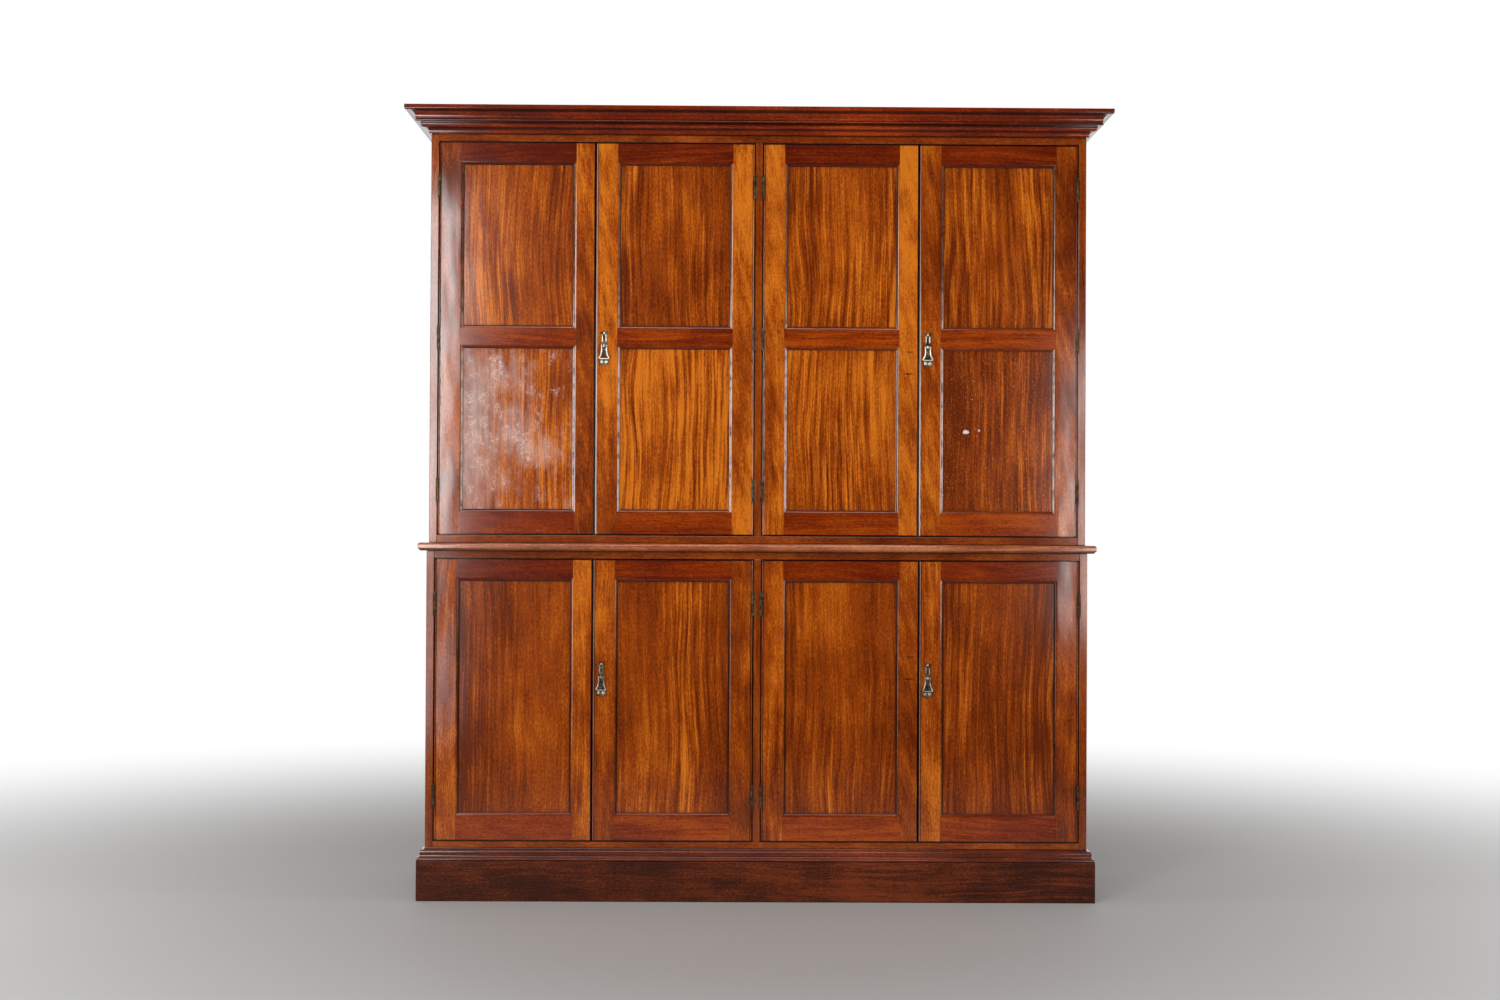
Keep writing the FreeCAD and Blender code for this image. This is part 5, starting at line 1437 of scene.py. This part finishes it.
# %% Turned parts of the handle
BOSS = [(-1.6, 4.9), (-2.6, 4.2), (-3.4, 4.1), (-4.4, 4.8), (-5.6, 5.0), (-9.2, 4.9), (-10.2, 4.1),
        (-10.8, 2.6), (-11.0, 1.0)]
BOSS_CAP = [(-9.9, 4.4), (-10.5, 3.7), (-10.9, 2.5), (-11.0, 0.8)]
FOOT_STUD = [(-1.8, 5.0), (-2.3, 4.7), (-3.0, 3.2), (-3.3, 1.0)]
TOP_STUD = [(-1.9, 3.0), (-2.4, 2.8), (-2.9, 1.6), (-3.0, 0.6)]
REED = [(12, 0.3), (13.5, 1.1), (29, 1.2), (31.5, 0.4)]
EYE = [(5.3, 2.2), (5.7, 2.8), (8.1, 2.8), (8.5, 2.2)]
DROP_PIN = [(-8.9, 0.8), (-8.6, 1.4), (8.6, 1.4), (8.9, 0.8)]
STUD_OUT, STUD_DROP, REED_OUT, REED_DEPTH, TOP_STUD_RISE = 5.9, 43.5, 4.9, 2.2, 35
PIN_DEPTH = 7.5

plate_parts = [plate_form(), pear_form(), turned(BOSS, 28, "Y")]
raised_parts = [turned(FOOT_STUD, 24, "Y", (x, 0, -STUD_DROP)) for x in (-STUD_OUT, STUD_OUT)]
raised_parts += [turned(REED, 12, "Z", (x, -REED_DEPTH, 0)) for x in (-REED_OUT, REED_OUT)]
raised_parts += [turned(TOP_STUD, 20, "Y", (0, 0, TOP_STUD_RISE)), turned(BOSS_CAP, 20, "Y")]
drop_parts = [loop_form(), turned(EYE, 20, "X"), turned([(-x, radius) for x, radius in EYE], 20, "X"),
              turned(DROP_PIN, 16, "X")]


def make_handle(level, number):
    name = "%s_door_%d" % (level, number)
    # The lower handles take the darker copy of the brass, as painted shade.
    rims = rubbed_lit_rims_brass if level == "upper" else shaded_rims_brass
    low = box_of(name)[0]
    pin = moved(low[0] + HANDLE_IN, low[1], low[2] + HANDLE_RISE[level])
    hanging = pin @ moved(0, -PIN_DEPTH, 0)
    plate = piece(name + "_plate", gather([(form, pin) for form in plate_parts]), handle_brass, name,
                  arris=0.12)
    raised = piece(name + "_plate_rims", gather([(form, pin) for form in raised_parts]), rims, name,
                   arris=0)
    drop = piece(name + "_loop", gather([(form, hanging) for form in drop_parts]), rims,
                 name + "_drop", arris=0)
    stand_for(name + "_handle_plate", "handle_brass", plate, raised)
    stand_for(name + "_drop", "handle_brass", drop)


for level in ("lower", "upper"):
    for number in LOCKED:
        make_handle(level, number)
print("four handles of %d forms" % (len(plate_parts) + len(raised_parts) + len(drop_parts)))

# %% [markdown]
# ## Locks and slip bolts
# The lock of each closing door is let into the back of its stile, and its bolt shoots into the
# other door of the pair. Its case and bolt keep their CAD meshes, and the screws are added.

# %% Locks
SCREW_IN, SCREW_PROUD = 5, 0.02


def make_lock(level, number):
    name = "%s_door_%d" % (level, number)
    dress(name + "_lock_case", lock_brass, 0.0004)
    dress(name + "_lock_bolt", steel, 0.0006)
    low, high = box_of(name + "_lock_case")
    luck = random.Random(name + " lock")
    heads = [(screw, facing((0, 1, 0), (x, high[1] + SCREW_PROUD, z), luck.uniform(0, SLOT_TURNS)))
             for x in (low[0] + SCREW_IN, high[0] - SCREW_IN)
             for z in (low[2] + SCREW_IN, high[2] - SCREW_IN)]
    screws = piece(name + "_lock_screws", gather(heads), steel, name, arris=0.15)


print("lock screws %d mm in from the corners of a case" % SCREW_IN)

# %% [markdown]
# The other door of each pair is held by a slip bolt, a rod with a small knob that slides up in a
# rounded brass guide on the door's back. The guide is bored for the rod.

# %% Slip bolts, and both fitted to the doors
GUIDE_SIDE = [(8, 0), (8, 0.25), (5.6, 0.62), (3.4, 0.9), (1.6, 1)]
KNOB = [(0, 2.6), (0.7, 3.8), (2.4, 4.2), (4.8, 3.9), (6, 2.9)]
BORE, ROD, ROD_END, TIP_LONG = 3.35, 2.9, 2.2, 1


def make_slip(level, number):
    name = "%s_door_%d" % (level, number)
    case_low, case_high = box_of(name + "_slip_case")
    low, high = box_of(name + "_slip_bolt")
    x, y = (case_low[0] + case_high[0]) / 2, (low[1] + high[1]) / 2
    depth = case_high[1] - case_low[1]
    right = [(across, share * depth) for across, share in GUIDE_SIDE]
    plan = right + [(-across, out) for across, out in reversed(right)]
    guide = skin([[(x + across, case_low[1] + out, z) for across, out in plan]
                  for z in (case_low[2], case_high[2])])
    bore = turned([(case_low[2] - PAST, BORE), (case_high[2] + PAST, BORE)], 24, "Z", (x, y, 0))
    case = piece(name + "_slip_plate", carve(guide, [bore]), lock_brass, name, arris=0.4)
    shape = [(low[2] + rise, radius) for rise, radius in KNOB]
    shape += [(high[2] - TIP_LONG, ROD), (high[2], ROD_END)]
    rod = turned(shape, 24, "Z", (x, y, 0))
    bolt = piece(name + "_slip_rod", rod, steel, name + "_slip_bolt", arris=0.15)
    stand_for(name + "_slip_case", "bolt_brass", case)
    stand_for(name + "_slip_bolt", "bolt_brass", bolt)


for level in ("lower", "upper"):
    for number in BOLTED:
        make_slip(level, number)
    for number in LOCKED:
        make_lock(level, number)
print("four slip bolts with rods %.1f mm across, and four locks" % (2 * ROD))
